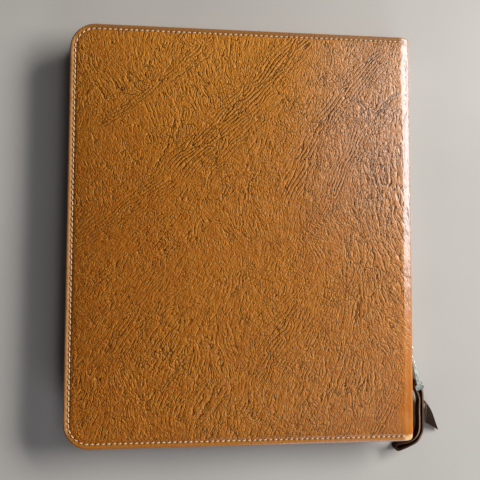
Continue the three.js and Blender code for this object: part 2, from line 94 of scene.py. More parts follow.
# directions of the grain's creases on the front: x, y, degrees from +X, depth, coarseness
FLOW = (
    (-91, 117, 95, 0.5, 0.3), (-88, 100, 118, 0.9, 0.4), (-74, 100, 136, 0.9, 0.4), (-67, 116, 80, 0.7, 0.5), (-51, 114, 86, 0.7, 0.5),
    (-36, 116, 60, 0.8, 0.5), (-13, 114, 98, 0.9, 0.6), (-4, 101, 80, 0.6, 0.4), (-26, 97, 118, 1, 0.6), (-46, 84, 118, 0.9, 0.5),
    (-35, 80, 75, 0.9, 0.5), (-19, 81, 102, 0.5, 0.3), (-54, 67, 120, 0.6, 0.3), (-67, 59, 118, 0.7, 0.3), (-83, 56, 105, 0.6, 0.3),
    (-94, 76, 58, 0.4, 0.2), (-43, 63, 74, 0.8, 0.6), (-90, 37, 112, 0.5, 0.2), (-73, 41, 72, 0.6, 0.3), (-56, 38, 60, 0.8, 0.5),
    (-29, 46, 50, 0.8, 0.4), (-6, 53, 55, 0.8, 0.4), (-3, 30, 68, 0.7, 0.3), (12, 114, 60, 0.8, 0.5), (43, 103, 80, 0.7, 0.4),
    (56, 113, 100, 0.7, 0.4), (36, 88, 62, 0.6, 0.3), (76, 117, 75, 0.7, 0.5), (92, 114, 70, 0.7, 0.5), (92, 100, 128, 0.8, 0.8),
    (97, 85, 56, 1, 0.9), (70, 84, 108, 1, 0.7), (80, 81, 80, 1, 0.8), (60, 66, 115, 1, 0.7), (68, 54, 72, 1, 0.7),
    (92, 65, 60, 0.9, 0.7), (83, 50, 106, 1.2, 1), (100, 67, 145, 1, 0.6), (91, 28, 100, 1.2, 1), (54, 36, 78, 0.9, 0.6),
    (35, 33, 60, 0.7, 0.4), (13, 32, 104, 0.8, 0.4), (-101, -10, 40, 0.7, 0.4), (-83, -18, 52, 0.8, 0.4), (-59, 4, 50, 0.6, 0.3),
    (-53, -24, 58, 0.9, 0.5), (-31, -5, 58, 0.7, 0.3), (-19, 0, 128, 0.7, 0.3), (-39, -42, 55, 0.8, 0.4), (-12, -40, 72, 0.8, 0.5),
    (-102, -48, 50, 0.7, 0.3), (-64, -63, 60, 1.1, 0.8), (-43, -61, 62, 1, 0.7), (-15, -72, 108, 0.8, 0.6), (-91, -69, 55, 0.8, 0.4),
    (12, 8, 112, 0.6, 0.3), (35, 12, 80, 0.8, 0.5), (43, -1, 148, 0.5, 0.4), (58, 12, 130, 0.9, 0.6), (84, 12, 95, 1.2, 1),
    (69, -6, 80, 0.9, 0.6), (23, -11, 60, 0.6, 0.3), (35, -33, 70, 0.6, 0.3), (13, -49, 62, 0.8, 0.4), (26, -67, 66, 1, 0.5),
    (55, -55, 75, 0.6, 0.3), (72, -41, 78, 0.9, 0.7), (88, -9, 120, 1, 0.8), (98, -17, 140, 1.1, 0.8), (91, -33, 98, 1, 0.8),
    (97, -49, 135, 1, 0.8), (98, -64, 140, 1, 0.8), (68, -68, 86, 0.7, 0.5), (-94, -102, 60, 0.8, 0.4), (-70, -99, 124, 0.9, 0.6),
    (-52, -96, 55, 0.9, 0.6), (-58, -116, 100, 0.6, 0.4), (-24, -104, 62, 1, 0.7), (-3, -98, 75, 0.9, 0.6), (11, -119, 75, 0.8, 0.5),
    (35, -105, 72, 0.9, 0.6), (55, -91, 78, 1, 0.7), (47, -121, 80, 0.7, 0.5), (73, -91, 60, 1, 0.8), (90, -90, 95, 0.9, 0.7),
    (85, -106, 118, 1, 0.7), (97, -105, 68, 0.8, 0.5), (90, -121, 66, 1, 0.7), (73, -122, 75, 0.6, 0.4), (100, -125, 80, 0.2, 0.3),
)

# bundles of long parallel creases: half width, depth, route
BUNDLES = (
    (10, 1.0, ((40, 132), (21, 111), (3, 87), (-19, 64), (-50, 34))),
    (12, 0.5, ((-50, 34), (-77, 11), (-101, -8))),
    (9, 0.9, ((91, 121), (65, 91), (47, 67), (35, 44), (23, 19))),
    (3.6, 0.8, ((-20, 126), (-39, 109), (-60, 91), (-78, 76), (-95, 64))),
    (14, 0.8, ((37, -44), (19, -69), (5, -94))),
    (7, 0.8, ((78, 76), (68, 55), (57, 29), (49, 8))),
    (9, 0.8, ((97, -100), (89, -115), (82, -129))),
    (15, 0.5, ((-47, -22), (-67, -52), (-85, -80))),
    (8, 0.6, ((10, 78), (-7, 59), (-26, 39))),
)

# single deeper creases: depth, route
FOLDS = (
    (0.32, ((-32, 103), (-27, 97), (-23, 91))), (0.28, ((-22, 90), (-15, 83))), (0.24, ((-87, 101), (-79, 87))),
    (0.22, ((-83, 108), (-73, 100), (-60, 90))), (0.30, ((-4, -31), (-11, -42))), (0.34, ((99, 96), (91, 86), (81, 75))),
    (0.36, ((84, 58), (82, 45), (85, 28), (83, 14))), (0.32, ((93, -2), (101, -18))), (0.30, ((90, -31), (95, -42))),
    (0.34, ((-18, -93), (-25, -107), (-33, -121))), (0.28, ((-69, -94), (-61, -103), (-51, -92))),
    (0.24, ((-59, -68), (-49, -73), (-44, -83), (-33, -78))), (0.34, ((78, -88), (68, -104))), (0.26, ((86, -99), (92, -110))),
    (0.20, ((35, 4), (43, -1), (51, -5))), (0.30, ((72, -41), (68, -57))), (0.34, ((92, 16), (90, 2))),
    (0.24, ((-44, 58), (-39, 71))), (0.26, ((-73, -73), (-64, -61))), (0.26, ((71, 93), (75, 82), (76, 72))), (0.24, ((66, 90), (70, 80))),
    (0.22, ((-101, 108), (-95, 101), (-89, 96))), (0.26, ((-87, 100), (-82, 94), (-75, 87), (-64, 86))),
    (0.22, ((-75, 103), (-74, 96), (-69, 91), (-62, 88))), (0.22, ((-96, 98), (-94, 93), (-90, 87), (-84, 80))),
    (0.22, ((-35, 97), (-31, 89), (-34, 80))), (0.22, ((-29, 95), (-24, 86), (-21, 79))),
    (0.24, ((-43, 80), (-47, 64), (-50, 52), (-62, 33))), (0.20, ((-38, 82), (-41, 71), (-45, 58))),
    (0.18, ((-77, 59), (-70, 45), (-64, 39))), (0.24, ((-15, 122), (-29, 108), (-40, 101), (-54, 91))),
    (0.18, ((-25, 123), (-32, 110), (-42, 102))), (0.14, ((-55, 91), (-69, 81), (-81, 73))), (0.20, ((-8, 83), (-19, 68), (-29, 59))),
    (0.20, ((0, 72), (-16, 59), (-29, 49), (-41, 36))), (0.20, ((-76, -52), (-80, -58), (-82, -65), (-87, -73))),
    (0.22, ((-61, -44), (-62, -59), (-69, -73))), (0.22, ((-51, -64), (-57, -75), (-63, -77))),
    (0.24, ((-28, -66), (-40, -81), (-49, -91), (-62, -101))), (0.26, ((-15, -93), (-23, -105), (-33, -122))),
    (0.24, ((-1, -90), (-14, -102), (-25, -119))), (0.18, ((-65, -100), (-59, -106), (-60, -114))),
    (0.18, ((-63, -77), (-52, -73), (-46, -78))), (0.18, ((-43, -75), (-38, -85), (-40, -91))),
    (0.16, ((-79, -24), (-75, -32), (-78, -41))), (0.16, ((-8, -40), (-22, -54), (-28, -63))),
    (0.28, ((88, 103), (97, 99), (99, 93), (84, 76), (74, 66))), (0.30, ((77, 58), (79, 48), (81, 39), (81, 26), (80, 10))),
    (0.28, ((85, 36), (87, 23), (86, 7))), (0.26, ((92, 28), (94, 11), (93, -1))), (0.20, ((68, 91), (73, 83), (76, 74))),
    (0.22, ((87, 62), (91, 54), (94, 49))), (0.20, ((101, 87), (93, 75), (84, 68))), (0.20, ((43, 65), (39, 41), (36, 17))),
    (0.18, ((49, 69), (45, 48), (41, 28))), (0.22, ((33, 125), (22, 107), (7, 92))), (0.20, ((40, 123), (27, 104), (14, 89))),
    (0.26, ((62, 0), (65, -11), (67, -21))), (0.24, ((70, -27), (73, -40), (71, -52))), (0.22, ((88, -24), (91, -38), (96, -48))),
    (0.16, ((54, -29), (64, -33), (73, -33))), (0.22, ((97, -9), (93, -17), (100, -24))), (0.16, ((49, -60), (38, -74), (25, -88))),
    (0.18, ((93, -90), (83, -101), (76, -110))), (0.16, ((49, -74), (51, -88), (48, -101))), (0.16, ((64, -67), (67, -76), (65, -85))),
)


# ------------------------------------------------------------------ small maths
def smooth(t):
    c = np.clip(t, 0.0, 1.0)
    return c * c * (3 - 2 * c)


def ease(t):
    c = np.clip(t, 0.0, 1.0)
    return 1 - (1 - c) ** 2


def unit(v):
    return v / np.maximum(np.linalg.norm(v, axis=-1, keepdims=True), 1e-12)


def catmull(points, count, closed=True):
    """Centripetal Catmull-Rom through points, evenly spaced along the curve."""
    p = np.asarray(points, float)
    n = len(p)
    dense = []
    spans = n if closed else n - 1
    for k in range(spans):
        if closed:
            a, b, c, d = p[(k - 1) % n], p[k], p[(k + 1) % n], p[(k + 2) % n]
        else:
            a = p[k - 1] if k else 2 * p[0] - p[1]
            b, c = p[k], p[k + 1]
            d = p[k + 2] if k + 2 < n else 2 * p[-1] - p[-2]
        t0 = 0.0
        t1 = t0 + max(np.linalg.norm(b - a) ** 0.5, 1e-4)
        t2 = t1 + max(np.linalg.norm(c - b) ** 0.5, 1e-4)
        t3 = t2 + max(np.linalg.norm(d - c) ** 0.5, 1e-4)
        for t in np.linspace(t1, t2, 24, endpoint=False):
            a1 = (t1 - t) / (t1 - t0) * a + (t - t0) / (t1 - t0) * b
            a2 = (t2 - t) / (t2 - t1) * b + (t - t1) / (t2 - t1) * c
            a3 = (t3 - t) / (t3 - t2) * c + (t - t2) / (t3 - t2) * d
            b1 = (t2 - t) / (t2 - t0) * a1 + (t - t0) / (t2 - t0) * a2
            b2 = (t3 - t) / (t3 - t1) * a2 + (t - t1) / (t3 - t1) * a3
            dense.append((t2 - t) / (t2 - t1) * b1 + (t - t1) / (t2 - t1) * b2)
    dense = np.array(dense + ([dense[0]] if closed else [p[-1]]))
    length = np.concatenate([[0], np.cumsum(np.linalg.norm(np.diff(dense, axis=0), axis=1))])
    where = np.linspace(0, length[-1], count, endpoint=not closed)
    return np.stack([np.interp(where, length, dense[:, k]) for k in range(dense.shape[1])], -1)


def half_length(x, inset=0.0):
    """Half length of the plan outline at x, moved in by inset along the stitched edges."""
    x = np.asarray(x, float)
    r, top = CORNER_LEFT - inset, HY - inset
    left = np.clip(x + HX - inset, 0, r)
    out = top - r + np.sqrt(np.maximum(0, r * r - (r - left) ** 2))
    right = np.clip(x - (HX - CORNER_ZIP), 0, CORNER_ZIP)
    return out - CORNER_ZIP + np.sqrt(np.maximum(0, CORNER_ZIP ** 2 - right ** 2))


def rise(d):
    d = np.maximum(0, d - MARGIN)
    return RISE_NEAR["share"] * (1 - np.exp(-d / RISE_NEAR["reach"])) + RISE_FAR["share"] * ease(d / RISE_FAR["reach"])


def front_height(x, y):
    lift = rise(x + HX) * rise(HY - y) * rise(HY + y)
    z = MARGIN_Z + DOME * lift
    for sx, sy, spread, height in SOFT_SPOTS:
        z = z + height * smooth(lift * 1.4) * np.exp(-((x - sx) ** 2 + (y - sy) ** 2) / (2 * spread ** 2))
    return z


def edge_distance(x, y):
    """Distance in from the three stitched edges."""
    d = np.minimum(x + HX, HY - np.abs(y))
    cx, cy = x + HX - CORNER_LEFT, np.abs(y) - (HY - CORNER_LEFT)
    corner = (cx < 0) & (cy > 0)
    return np.where(corner, CORNER_LEFT - np.hypot(cx, cy), d)


def shoulder_table():
    """The roll's section evenly spaced over its skin: shares out and up, their slopes, and the skin's length."""
    rows = np.array(SHOULDER_SECTION) * (SHOULDER["reach"], SHOULDER_HIGH)
    line = catmull(rows, 241, closed=False)
    length = float(np.sum(np.linalg.norm(np.diff(line, axis=0), axis=1)))
    out, up = line[:, 0] / SHOULDER["reach"], line[:, 1] / SHOULDER_HIGH
    return out, up, np.gradient(out), np.gradient(up), length


ROLL = shoulder_table()


def shoulder(angle):
    """Shares out and up, and their slopes, at an angle that grows evenly from 0 to a right angle over the roll's skin."""
    t = np.clip(np.asarray(angle, float) / (math.pi / 2), 0, 1) * (len(ROLL[0]) - 1)
    where = np.arange(len(ROLL[0]))
    return [np.interp(t, where, column) for column in ROLL[:4]]


def shoulder_normal(angle, high):
    _, _, d_out, d_up = shoulder(angle)
    return unit(np.stack([-d_up * high, 0 * d_out, d_out * SHOULDER["reach"]], -1))


def front_skin(x, angle, y, depth=0.0):
    """The front panel under its outer face: flat stations have angle 0 and the roll has x at the shoulder."""
    angle = np.asarray(angle, float)
    out, up, _, _ = shoulder(angle)
    on_roll = angle > 0
    z_flat = front_height(x, y) - depth
    high = front_height(SHOULDER_X, y) - SHOULDER["z"]
    normal = shoulder_normal(angle, high)
    px = np.where(on_roll, SHOULDER_X + SHOULDER["reach"] * out - depth * normal[..., 0], x)
    pz = np.where(on_roll, SHOULDER["z"] + high * up - depth * normal[..., 2], z_flat)
    return np.stack([px, y + 0 * px, pz], -1)


def back_skin(x, angle, y, depth=0.0, lip=0.0):
    s, c = np.sin(angle), np.cos(angle)
    r = BACK_ROLL["radius"]
    on_roll = angle > 0
    px = np.where(on_roll, BACK_ROLL_X + (r - depth) * s, x)
    pz = np.where(on_roll, r - (r - depth) * c + lip, depth)
    return np.stack([px, y + 0 * px, pz], -1)


def parting(y):
    ys = np.array([p[0] for p in PARTING])
    gaps = np.array([p[1] for p in PARTING])
    y = np.asarray(y, float)
    out = np.zeros_like(y)
    for k in range(len(ys) - 1):
        here = (y <= ys[k]) & (y >= ys[k + 1])
        out = np.where(here, gaps[k] + (gaps[k + 1] - gaps[k]) * smooth((ys[k] - y) / (ys[k] - ys[k + 1])), out)
    return np.where(y < ys[-1], gaps[-1], out)


# ------------------------------------------------------------------ grain of the leather
STEP = 0.4
RX = np.arange(-128, 128, STEP)
RY = np.arange(-144, 144, STEP)
GX, GY = np.meshgrid(RX, RY)
FX, FY = np.meshgrid(np.fft.fftfreq(len(RX), STEP), np.fft.fftfreq(len(RY), STEP))
FK, FA = np.hypot(FX, FY), np.arctan2(FY, FX)


def white(seed):
    return np.fft.fft2(np.random.default_rng(seed).standard_normal(GX.shape))


def soft_noise(seed, wave):
    n = np.fft.ifft2(white(seed) * np.exp(-(FK * wave) ** 2 / 2)).real
    return n / n.std()


def crease_noise(seed, spacing, spread, way, band=0.28, directions=18):
    """Noise whose zero lines run along the local direction, about one spacing apart."""
    base, wave = white(seed), 2 * spacing
    ring = np.exp(-((FK * wave - 1) / band) ** 2 / 2)
    total = np.zeros(GX.shape)
    for m in range(directions):
        along = math.pi * m / directions
        off = (FA - along) % math.pi - math.pi / 2
        n = np.fft.ifft2(base * ring * np.exp(-(off / spread) ** 2 / 2)).real
        near = (way - along + math.pi / 2) % math.pi - math.pi / 2
        total += np.exp(-(near / (math.pi / directions)) ** 2 / 2) * n / n.std()
    # divided by its own swing, so that every crease comes out as high and as wide
    gy, gx = np.gradient(total, STEP)
    swing = total ** 2 + (gx ** 2 + gy ** 2) * (wave / (2 * math.pi)) ** 2
    swing = np.sqrt(np.fft.ifft2(np.fft.fft2(swing) * np.exp(-(FK * spacing * 1.1) ** 2 * 2)).real.clip(1e-6))
    return np.clip(total / swing, -1.4, 1.4)


def flow_field():
    c = np.zeros(GX.shape)
    s, w, depth, coarse = c.copy(), c.copy() + 1e-9, c.copy(), c.copy()
    for x, y, deg, d, k in FLOW:
        near = np.exp(-((GX - x) ** 2 + (GY - y) ** 2) / (2 * 11.0 ** 2)) + 1e-5
        c += near * math.cos(math.radians(2 * deg))
        s += near * math.sin(math.radians(2 * deg))
        depth += near * d
        coarse += near * k
        w += near
    return 0.5 * np.arctan2(s, c), depth / w, coarse / w


def route_distance(route):
    """Distance to a route, how far along it, and its direction, over the grain's raster."""
    best = np.full(GX.shape, 1e9)
    way, along = np.zeros(GX.shape), np.zeros(GX.shape)
    total = sum(math.dist(a, b) for a, b in zip(route, route[1:]))
    gone = 0.0
    for a, b in zip(route, route[1:]):
        dx, dy = b[0] - a[0], b[1] - a[1]
        length = math.hypot(dx, dy)
        t = np.clip(((GX - a[0]) * dx + (GY - a[1]) * dy) / length ** 2, 0, 1)
        d = np.hypot(GX - a[0] - t * dx, GY - a[1] - t * dy)
        better = d < best
        best = np.where(better, d, best)
        way = np.where(better, math.atan2(dy, dx), way)
        along = np.where(better, (gone + t * length) / total, along)
        gone += length
    return best, along, way


def crease_height(layers):
    """Height in mm of several crease layers: rounded ridges with a groove along each noise's zero lines."""
    return np.minimum.reduce([amount * (np.tanh(np.abs(noise) / max(WIDTH_OF[name], 0.45)) - 1) for name, (noise, amount) in layers.items()])


def front_grain():
    """The front's crease layers (noise and depth in mm on the raster), its soft swells, and the creases' direction as a
    doubled angle."""
    way, depth, coarse = flow_field()
    bend = soft_noise(11, 9.0) * 0.16 + soft_noise(12, 4.0) * 0.10
    way_free = way + bend
    # bundles
    bundle = np.zeros(GX.shape)
    c2, s2, wsum = np.zeros(GX.shape), np.zeros(GX.shape), np.full(GX.shape, 1e-6)
    for half, strength, route in BUNDLES:
        d, along, w = route_distance(route)
        mask = strength * np.exp(-(d / half) ** 2) * smooth(along / 0.06) * smooth((1 - along) / 0.10)
        bundle = np.maximum(bundle, mask)
        c2 += mask * np.cos(2 * w)
        s2 += mask * np.sin(2 * w)
        wsum += mask
    way_bundle = 0.5 * np.arctan2(s2 + 0.02 * np.sin(2 * way), c2 + 0.02 * np.cos(2 * way)) + 0.45 * bend
    patches = smooth(0.5 + 0.42 * soft_noise(21, 14.0))
    free = np.clip(1 - 0.85 * bundle, 0, 1)

    def fades(seed, wave, low):
        """Creases come and go along their length."""
        return low + (1.15 - low) * smooth(0.5 + 0.45 * soft_noise(seed, wave))

    layers = {
        "fine": (crease_noise(31, 1.6, 0.34, way_free, band=0.32), 0.08 * (0.6 + 0.4 * depth) * (1 - 0.55 * bundle) * fades(22, 3.0, 0.25)),
        "mid": (crease_noise(32, 2.5, 0.16, way_free), 0.42 * depth * free * (0.25 + 0.9 * patches) * fades(23, 4.6, 0.10)),
        "deep": (crease_noise(33, 4.6, 0.15, way_free), 0.55 * np.clip(coarse - 0.15, 0, 1) * depth * free * fades(24, 6.0, 0.15)),
        "lines": (crease_noise(34, 2.2, 0.075, way_bundle), 0.52 * bundle * fades(25, 7.0, 0.4)),
    }
    layers["fold"] = fold_layer()
    return layers, 0.05 * soft_noise(42, 7.0), (np.cos(2 * way_free), np.sin(2 * way_free))


def fold_layer():
    """Signed distance in mm to the nearest single crease, gently wavering, and that crease's depth."""
    away, depth, best = np.full(GX.shape, 1.4), np.zeros(GX.shape), np.full(GX.shape, 9.0)
    wave_x, wave_y = soft_noise(41, 4.0) * 0.45, soft_noise(43, 4.0) * 0.45
    for d0, route in FOLDS:
        line = catmull(route, 8 * (len(route) - 1) + 1, closed=False)
        (x0, y0), (x1, y1) = line.min(0) - 6, line.max(0) + 6
        i0, i1 = np.searchsorted(RX, (x0, x1))
        j0, j1 = np.searchsorted(RY, (y0, y1))
        win = (slice(j0, j1), slice(i0, i1))
        x, y = GX[win] + wave_x[win], GY[win] + wave_y[win]
        near, side, gone = np.full(x.shape, 1e9), np.ones(x.shape), np.zeros(x.shape)
        for k, (a, b) in enumerate(zip(line, line[1:])):
            dx, dy = b - a
            t = np.clip(((x - a[0]) * dx + (y - a[1]) * dy) / (dx * dx + dy * dy), 0, 1)
            d = np.hypot(x - a[0] - t * dx, y - a[1] - t * dy)
            better = d < near
            near = np.where(better, d, near)
            side = np.where(better, np.where(dx * (y - a[1]) - dy * (x - a[0]) < 0, -1.0, 1.0), side)
            gone = np.where(better, (k + t) / (len(line) - 1), gone)
        amount = 1.5 * d0 * smooth(gone / 0.25) * smooth((1 - gone) / 0.25) * np.exp(-(near / 1.5) ** 4)
        take = near < best[win]
        away[win] = np.where(take, side * near, away[win])
        depth[win] = np.where(take, amount, depth[win])
        best[win] = np.minimum(near, best[win])
    return np.clip(away, -1.4, 1.4), depth


def sample(raster, x, y):
    u = np.clip((np.asarray(x) - RX[0]) / STEP, 0, len(RX) - 1.001)
    v = np.clip((np.asarray(y) - RY[0]) / STEP, 0, len(RY) - 1.001)
    i, j = u.astype(int), v.astype(int)
    a, b = u - i, v - j
    return (raster[j, i] * (1 - a) * (1 - b) + raster[j, i + 1] * a * (1 - b)
            + raster[j + 1, i] * (1 - a) * b + raster[j + 1, i + 1] * a * b)


# ------------------------------------------------------------------ mesh helpers
def piece(name, points, faces, material, stands_for=(), values=None, sharp=None):
    mesh = bpy.data.meshes.new(name)
    mesh.from_pydata((np.asarray(points, float) * MM).tolist(), [], [list(map(int, f)) for f in faces])
    mesh.polygons.foreach_set("use_smooth", np.ones(len(mesh.polygons), dtype=bool))
    for key, array in (values or {}).items():
        a = mesh.attributes.new(key, "FLOAT", "POINT")
        a.data.foreach_set("value", np.asarray(array, dtype=np.float32).ravel())
    mesh.update()
    if sharp is not None:
        mesh.set_sharp_from_angle(angle=math.radians(sharp))
    mesh.materials.append(material)
    ob = bpy.data.objects.new(name, mesh)
    scene.collection.objects.link(ob)
    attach(ob, "root")
    if stands_for:
        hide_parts(*stands_for)
    return ob


class Build:
    """Points and faces collected from several forms, with point values."""

    def __init__(self, *keys):
        self.points, self.faces, self.values, self.count = [], [], {k: [] for k in keys}, 0

    def add(self, points, faces, **values):
        points = np.asarray(points, float).reshape(-1, 3)
        self.points.append(points)
        self.faces += [[i + self.count for i in f] for f in faces]
        for k in self.values:
            self.values[k].append(np.broadcast_to(np.asarray(values.get(k, 0.0), float), (len(points),)))
        self.count += len(points)

    def make(self, name, material, stands_for=(), sharp=None):
        values = {k: np.concatenate(v) for k, v in self.values.items()}
        return piece(name, np.concatenate(self.points), self.faces, material, stands_for, values, sharp)


def grid_faces(nu, nv, start=0, flip=False, wrap_u=False, wrap_v=False):
    i = np.arange(nu if wrap_u else nu - 1)
    j = np.arange(nv if wrap_v else nv - 1)
    I, J = np.meshgrid(i, j, indexing="ij")
    I2, J2 = (I + 1) % nu, (J + 1) % nv
    q = np.stack([I * nv + J, I2 * nv + J, I2 * nv + J2, I * nv + J2], -1).reshape(-1, 4) + start
    return (q[:, ::-1] if flip else q).tolist()


def skin_solid(outer, depth_points, normals, rim_radius, thickness, steps, ratio=4, values=None):
    """Closed leather sheet: a fine outer grid, a rounded rim all round, and a coarser inner skin.
    outer and depth_points are grids of the outer face and of the same places on the inner face."""
    nu, nv = outer.shape[:2]
    points = [outer.reshape(-1, 3)]
    faces = grid_faces(nu, nv)
    loop = [(i, 0) for i in range(nu - 1)] + [(nu - 1, j) for j in range(nv - 1)] \
        + [(i, nv - 1) for i in range(nu - 1, 0, -1)] + [(0, j) for j in range(nv - 1, 0, -1)]
    li, lj = np.array(loop).T
    top, low, n = outer[li, lj], depth_points[li, lj], normals[li, lj]
    inside = outer[np.clip(li, 1, nu - 2), np.clip(lj, 1, nv - 2)]
    tangent = unit(np.roll(top, -1, 0) - np.roll(top, 1, 0))
    out = unit(np.cross(tangent, n))
    out *= np.sign(np.sum(out * (top - inside), -1, keepdims=True))
    r = rim_radius[li, lj][:, None]
    rings, count = [], nu * nv
    rim_value = [np.zeros(nu * nv)]
    L = len(loop)
    for k in range(1, steps + 1):
        a = math.pi * k / steps
        f = (1 - math.cos(a)) / 2
        rings.append(count + np.arange(L))
        points.append(top * (1 - f) + low * f + out * r * math.sin(a))
        rim_value.append(np.full(L, math.sin(a) if k < steps else 0.0))
        count += L
    first = li * nv + lj
    chain = [first] + rings
    for a, b in zip(chain, chain[1:]):
        for m in range(L):
            m2 = (m + 1) % L
            faces.append([a[m], b[m], b[m2], a[m2]])
    # inner skin with one cell for each block of the outer grid; its border keeps the rim's points
    cu, cv = (nu - 1) // ratio, (nv - 1) // ratio
    at = {p: rings[-1][m] for m, p in enumerate(loop)}
    inner_id, inner_points = {}, []
    for i in range(cu + 1):
        for j in range(cv + 1):
            key = (i * ratio, j * ratio)
            if key in at:
                inner_id[key] = at[key]
            else:
                inner_id[key] = count + len(inner_points)
                inner_points.append(depth_points[key])
    points.append(np.array(inner_points))
    rim_value.append(np.zeros(len(inner_points)))
    for i in range(cu):
        for j in range(cv):
            a, b, c, d = ((i * ratio, j * ratio), ((i + 1) * ratio, j * ratio),
                          ((i + 1) * ratio, (j + 1) * ratio), (i * ratio, (j + 1) * ratio))
            poly = [inner_id[a]]
            if j == 0:
                poly += [at[(i * ratio + k, 0)] for k in range(1, ratio)]
            poly.append(inner_id[b])
            if i == cu - 1:
                poly += [at[(nu - 1, j * ratio + k)] for k in range(1, ratio)]
            poly.append(inner_id[c])
            if j == cv - 1:
                poly += [at[((i + 1) * ratio - k, nv - 1)] for k in range(1, ratio)]
            poly.append(inner_id[d])
            if i == 0:
                poly += [at[(0, (j + 1) * ratio - k)] for k in range(1, ratio)]
            faces.append(poly[::-1])
    total = sum(len(p) for p in points)
    flesh = np.zeros(total)
    flesh[nu * nv + (steps - 1) * L:] = 1.0
    extra = {"rim": np.concatenate(rim_value), "flesh": flesh}
    for k, v in (values or {}).items():
        full = np.zeros(total)
        full[:nu * nv] = v.reshape(-1)
        for s in range(steps):
            full[nu * nv + s * L: nu * nv + (s + 1) * L] = v[li, lj]
        extra[k] = full
    return np.concatenate(points), faces, extra


def sweep(path, sides, ups, section, closed=False, cap=True):
    """Section points (a along side, b along up) carried along a path; returns points and faces."""
    n, m = len(path), len(section)
    section = np.asarray(section, float)
    if section.ndim == 2:
        section = np.broadcast_to(section, (n, m, 2))
    else:
        m = section.shape[1]
    pts = path[:, None, :] + sides[:, None, :] * section[..., :1] + ups[:, None, :] * section[..., 1:]
    faces = grid_faces(n, m, wrap_u=closed, wrap_v=True)
    if cap and not closed:
        faces.append(list(range(m)))
        faces.append(list(range((n - 1) * m, n * m))[::-1])
    return pts.reshape(-1, 3), faces


def rounded_box_section(half_a, half_b, radius, steps=4):
    """Rounded rectangle round the origin, counter-clockwise."""
    out = []
    for sx, sy, start in ((1, 1, 0), (-1, 1, 90), (-1, -1, 180), (1, -1, 270)):
        for k in range(steps + 1):
            a = math.radians(start + 90 * k / steps)
            out.append((sx * (half_a - radius) + radius * math.cos(a), sy * (half_b - radius) + radius * math.sin(a)))
    return out


def fix_normals(ob):
    bm = bmesh.new()
    bm.from_mesh(ob.data)
    bmesh.ops.recalc_face_normals(bm, faces=bm.faces)
    bm.to_mesh(ob.data)
    bm.free()


# ------------------------------------------------------------------ materials
class Look:
    """A node material with short helpers."""

    def __init__(self, name, **settings):
        self.m = bpy.data.materials.new(name)
        self.m.use_nodes = True
        self.t = self.m.node_tree
        self.t.nodes.clear()
        self.out = self.t.nodes.new("ShaderNodeOutputMaterial")
        self.bsdf = self.t.nodes.new("ShaderNodeBsdfPrincipled")
        self.t.links.new(self.bsdf.outputs[0], self.out.inputs[0])
        for k, v in settings.items():
            self.bsdf.inputs[k.replace("_", " ")].default_value = v
        self.co = self.t.nodes.new("ShaderNodeTexCoord").outputs["Object"]

    def put(self, socket, value):
        if isinstance(value, bpy.types.NodeSocket):
            self.t.links.new(value, socket)
        elif value is not None:
            socket.default_value = value

    def node(self, kind, **props):
        n = self.t.nodes.new("ShaderNode" + kind)
        for k, v in props.items():
            setattr(n, k, v)
        return n

    def math(self, op, a, b=None, c=None, clamp=False):
        n = self.node("Math", operation=op, use_clamp=clamp)
        for s, v in zip(n.inputs, (a, b, c)):
            self.put(s, v)
        return n.outputs[0]

    def attr(self, name):
        return self.node("Attribute", attribute_name=name).outputs["Fac"]

    def map(self, turn=0.0, scale=(1, 1, 1), vector=None, kind="TEXTURE"):
        n = self.node("Mapping", vector_type=kind)
        self.put(n.inputs["Vector"], vector or self.co)
        n.inputs["Rotation"].default_value = (0, 0, turn)
        n.inputs["Scale"].default_value = scale
        return n.outputs[0]

    def noise(self, scale, detail=3.0, rough=0.55, vector=None, distort=0.0):
        n = self.node("TexNoise")
        self.put(n.inputs["Vector"], vector or self.co)
        n.inputs["Scale"].default_value = scale
        n.inputs["Detail"].default_value = detail
        n.inputs["Roughness"].default_value = rough
        n.inputs["Distortion"].default_value = distort
        return n.outputs[0]

    def cells(self, scale, feature="F1", vector=None, random=1.0, output="Distance", smoothness=None):
        n = self.node("TexVoronoi", feature=feature)
        self.put(n.inputs["Vector"], vector or self.co)
        n.inputs["Scale"].default_value = scale
        n.inputs["Randomness"].default_value = random
        if smoothness is not None and "Smoothness" in n.inputs:
            n.inputs["Smoothness"].default_value = smoothness
        return n.outputs[output]

    def range(self, value, a, b, lo=0.0, hi=1.0, kind="SMOOTHSTEP"):
        n = self.node("MapRange", interpolation_type=kind)
        for s, v in zip(n.inputs, (value, a, b, lo, hi)):
            self.put(s, v)
        return n.outputs[0]

    def mix(self, fac, a, b, blend="MIX"):
        n = self.node("Mix", data_type="RGBA", blend_type=blend)
        self.put(n.inputs[0], fac)
        for s, v in zip((n.inputs[6], n.inputs[7]), (a, b)):
            self.put(s, (*v, 1.0) if isinstance(v, tuple) and len(v) == 3 else v)
        return n.outputs[2]

    def bump(self, height, strength, distance, normal=None):
        n = self.node("Bump")
        n.inputs["Strength"].default_value = strength
        n.inputs["Distance"].default_value = distance
        self.put(n.inputs["Height"], height)
        if normal is not None:
            self.put(n.inputs["Normal"], normal)
        return n.outputs[0]

    def set(self, **sockets):
        for k, v in sockets.items():
            self.put(self.bsdf.inputs[k.replace("_", " ")], v)
        return self.m


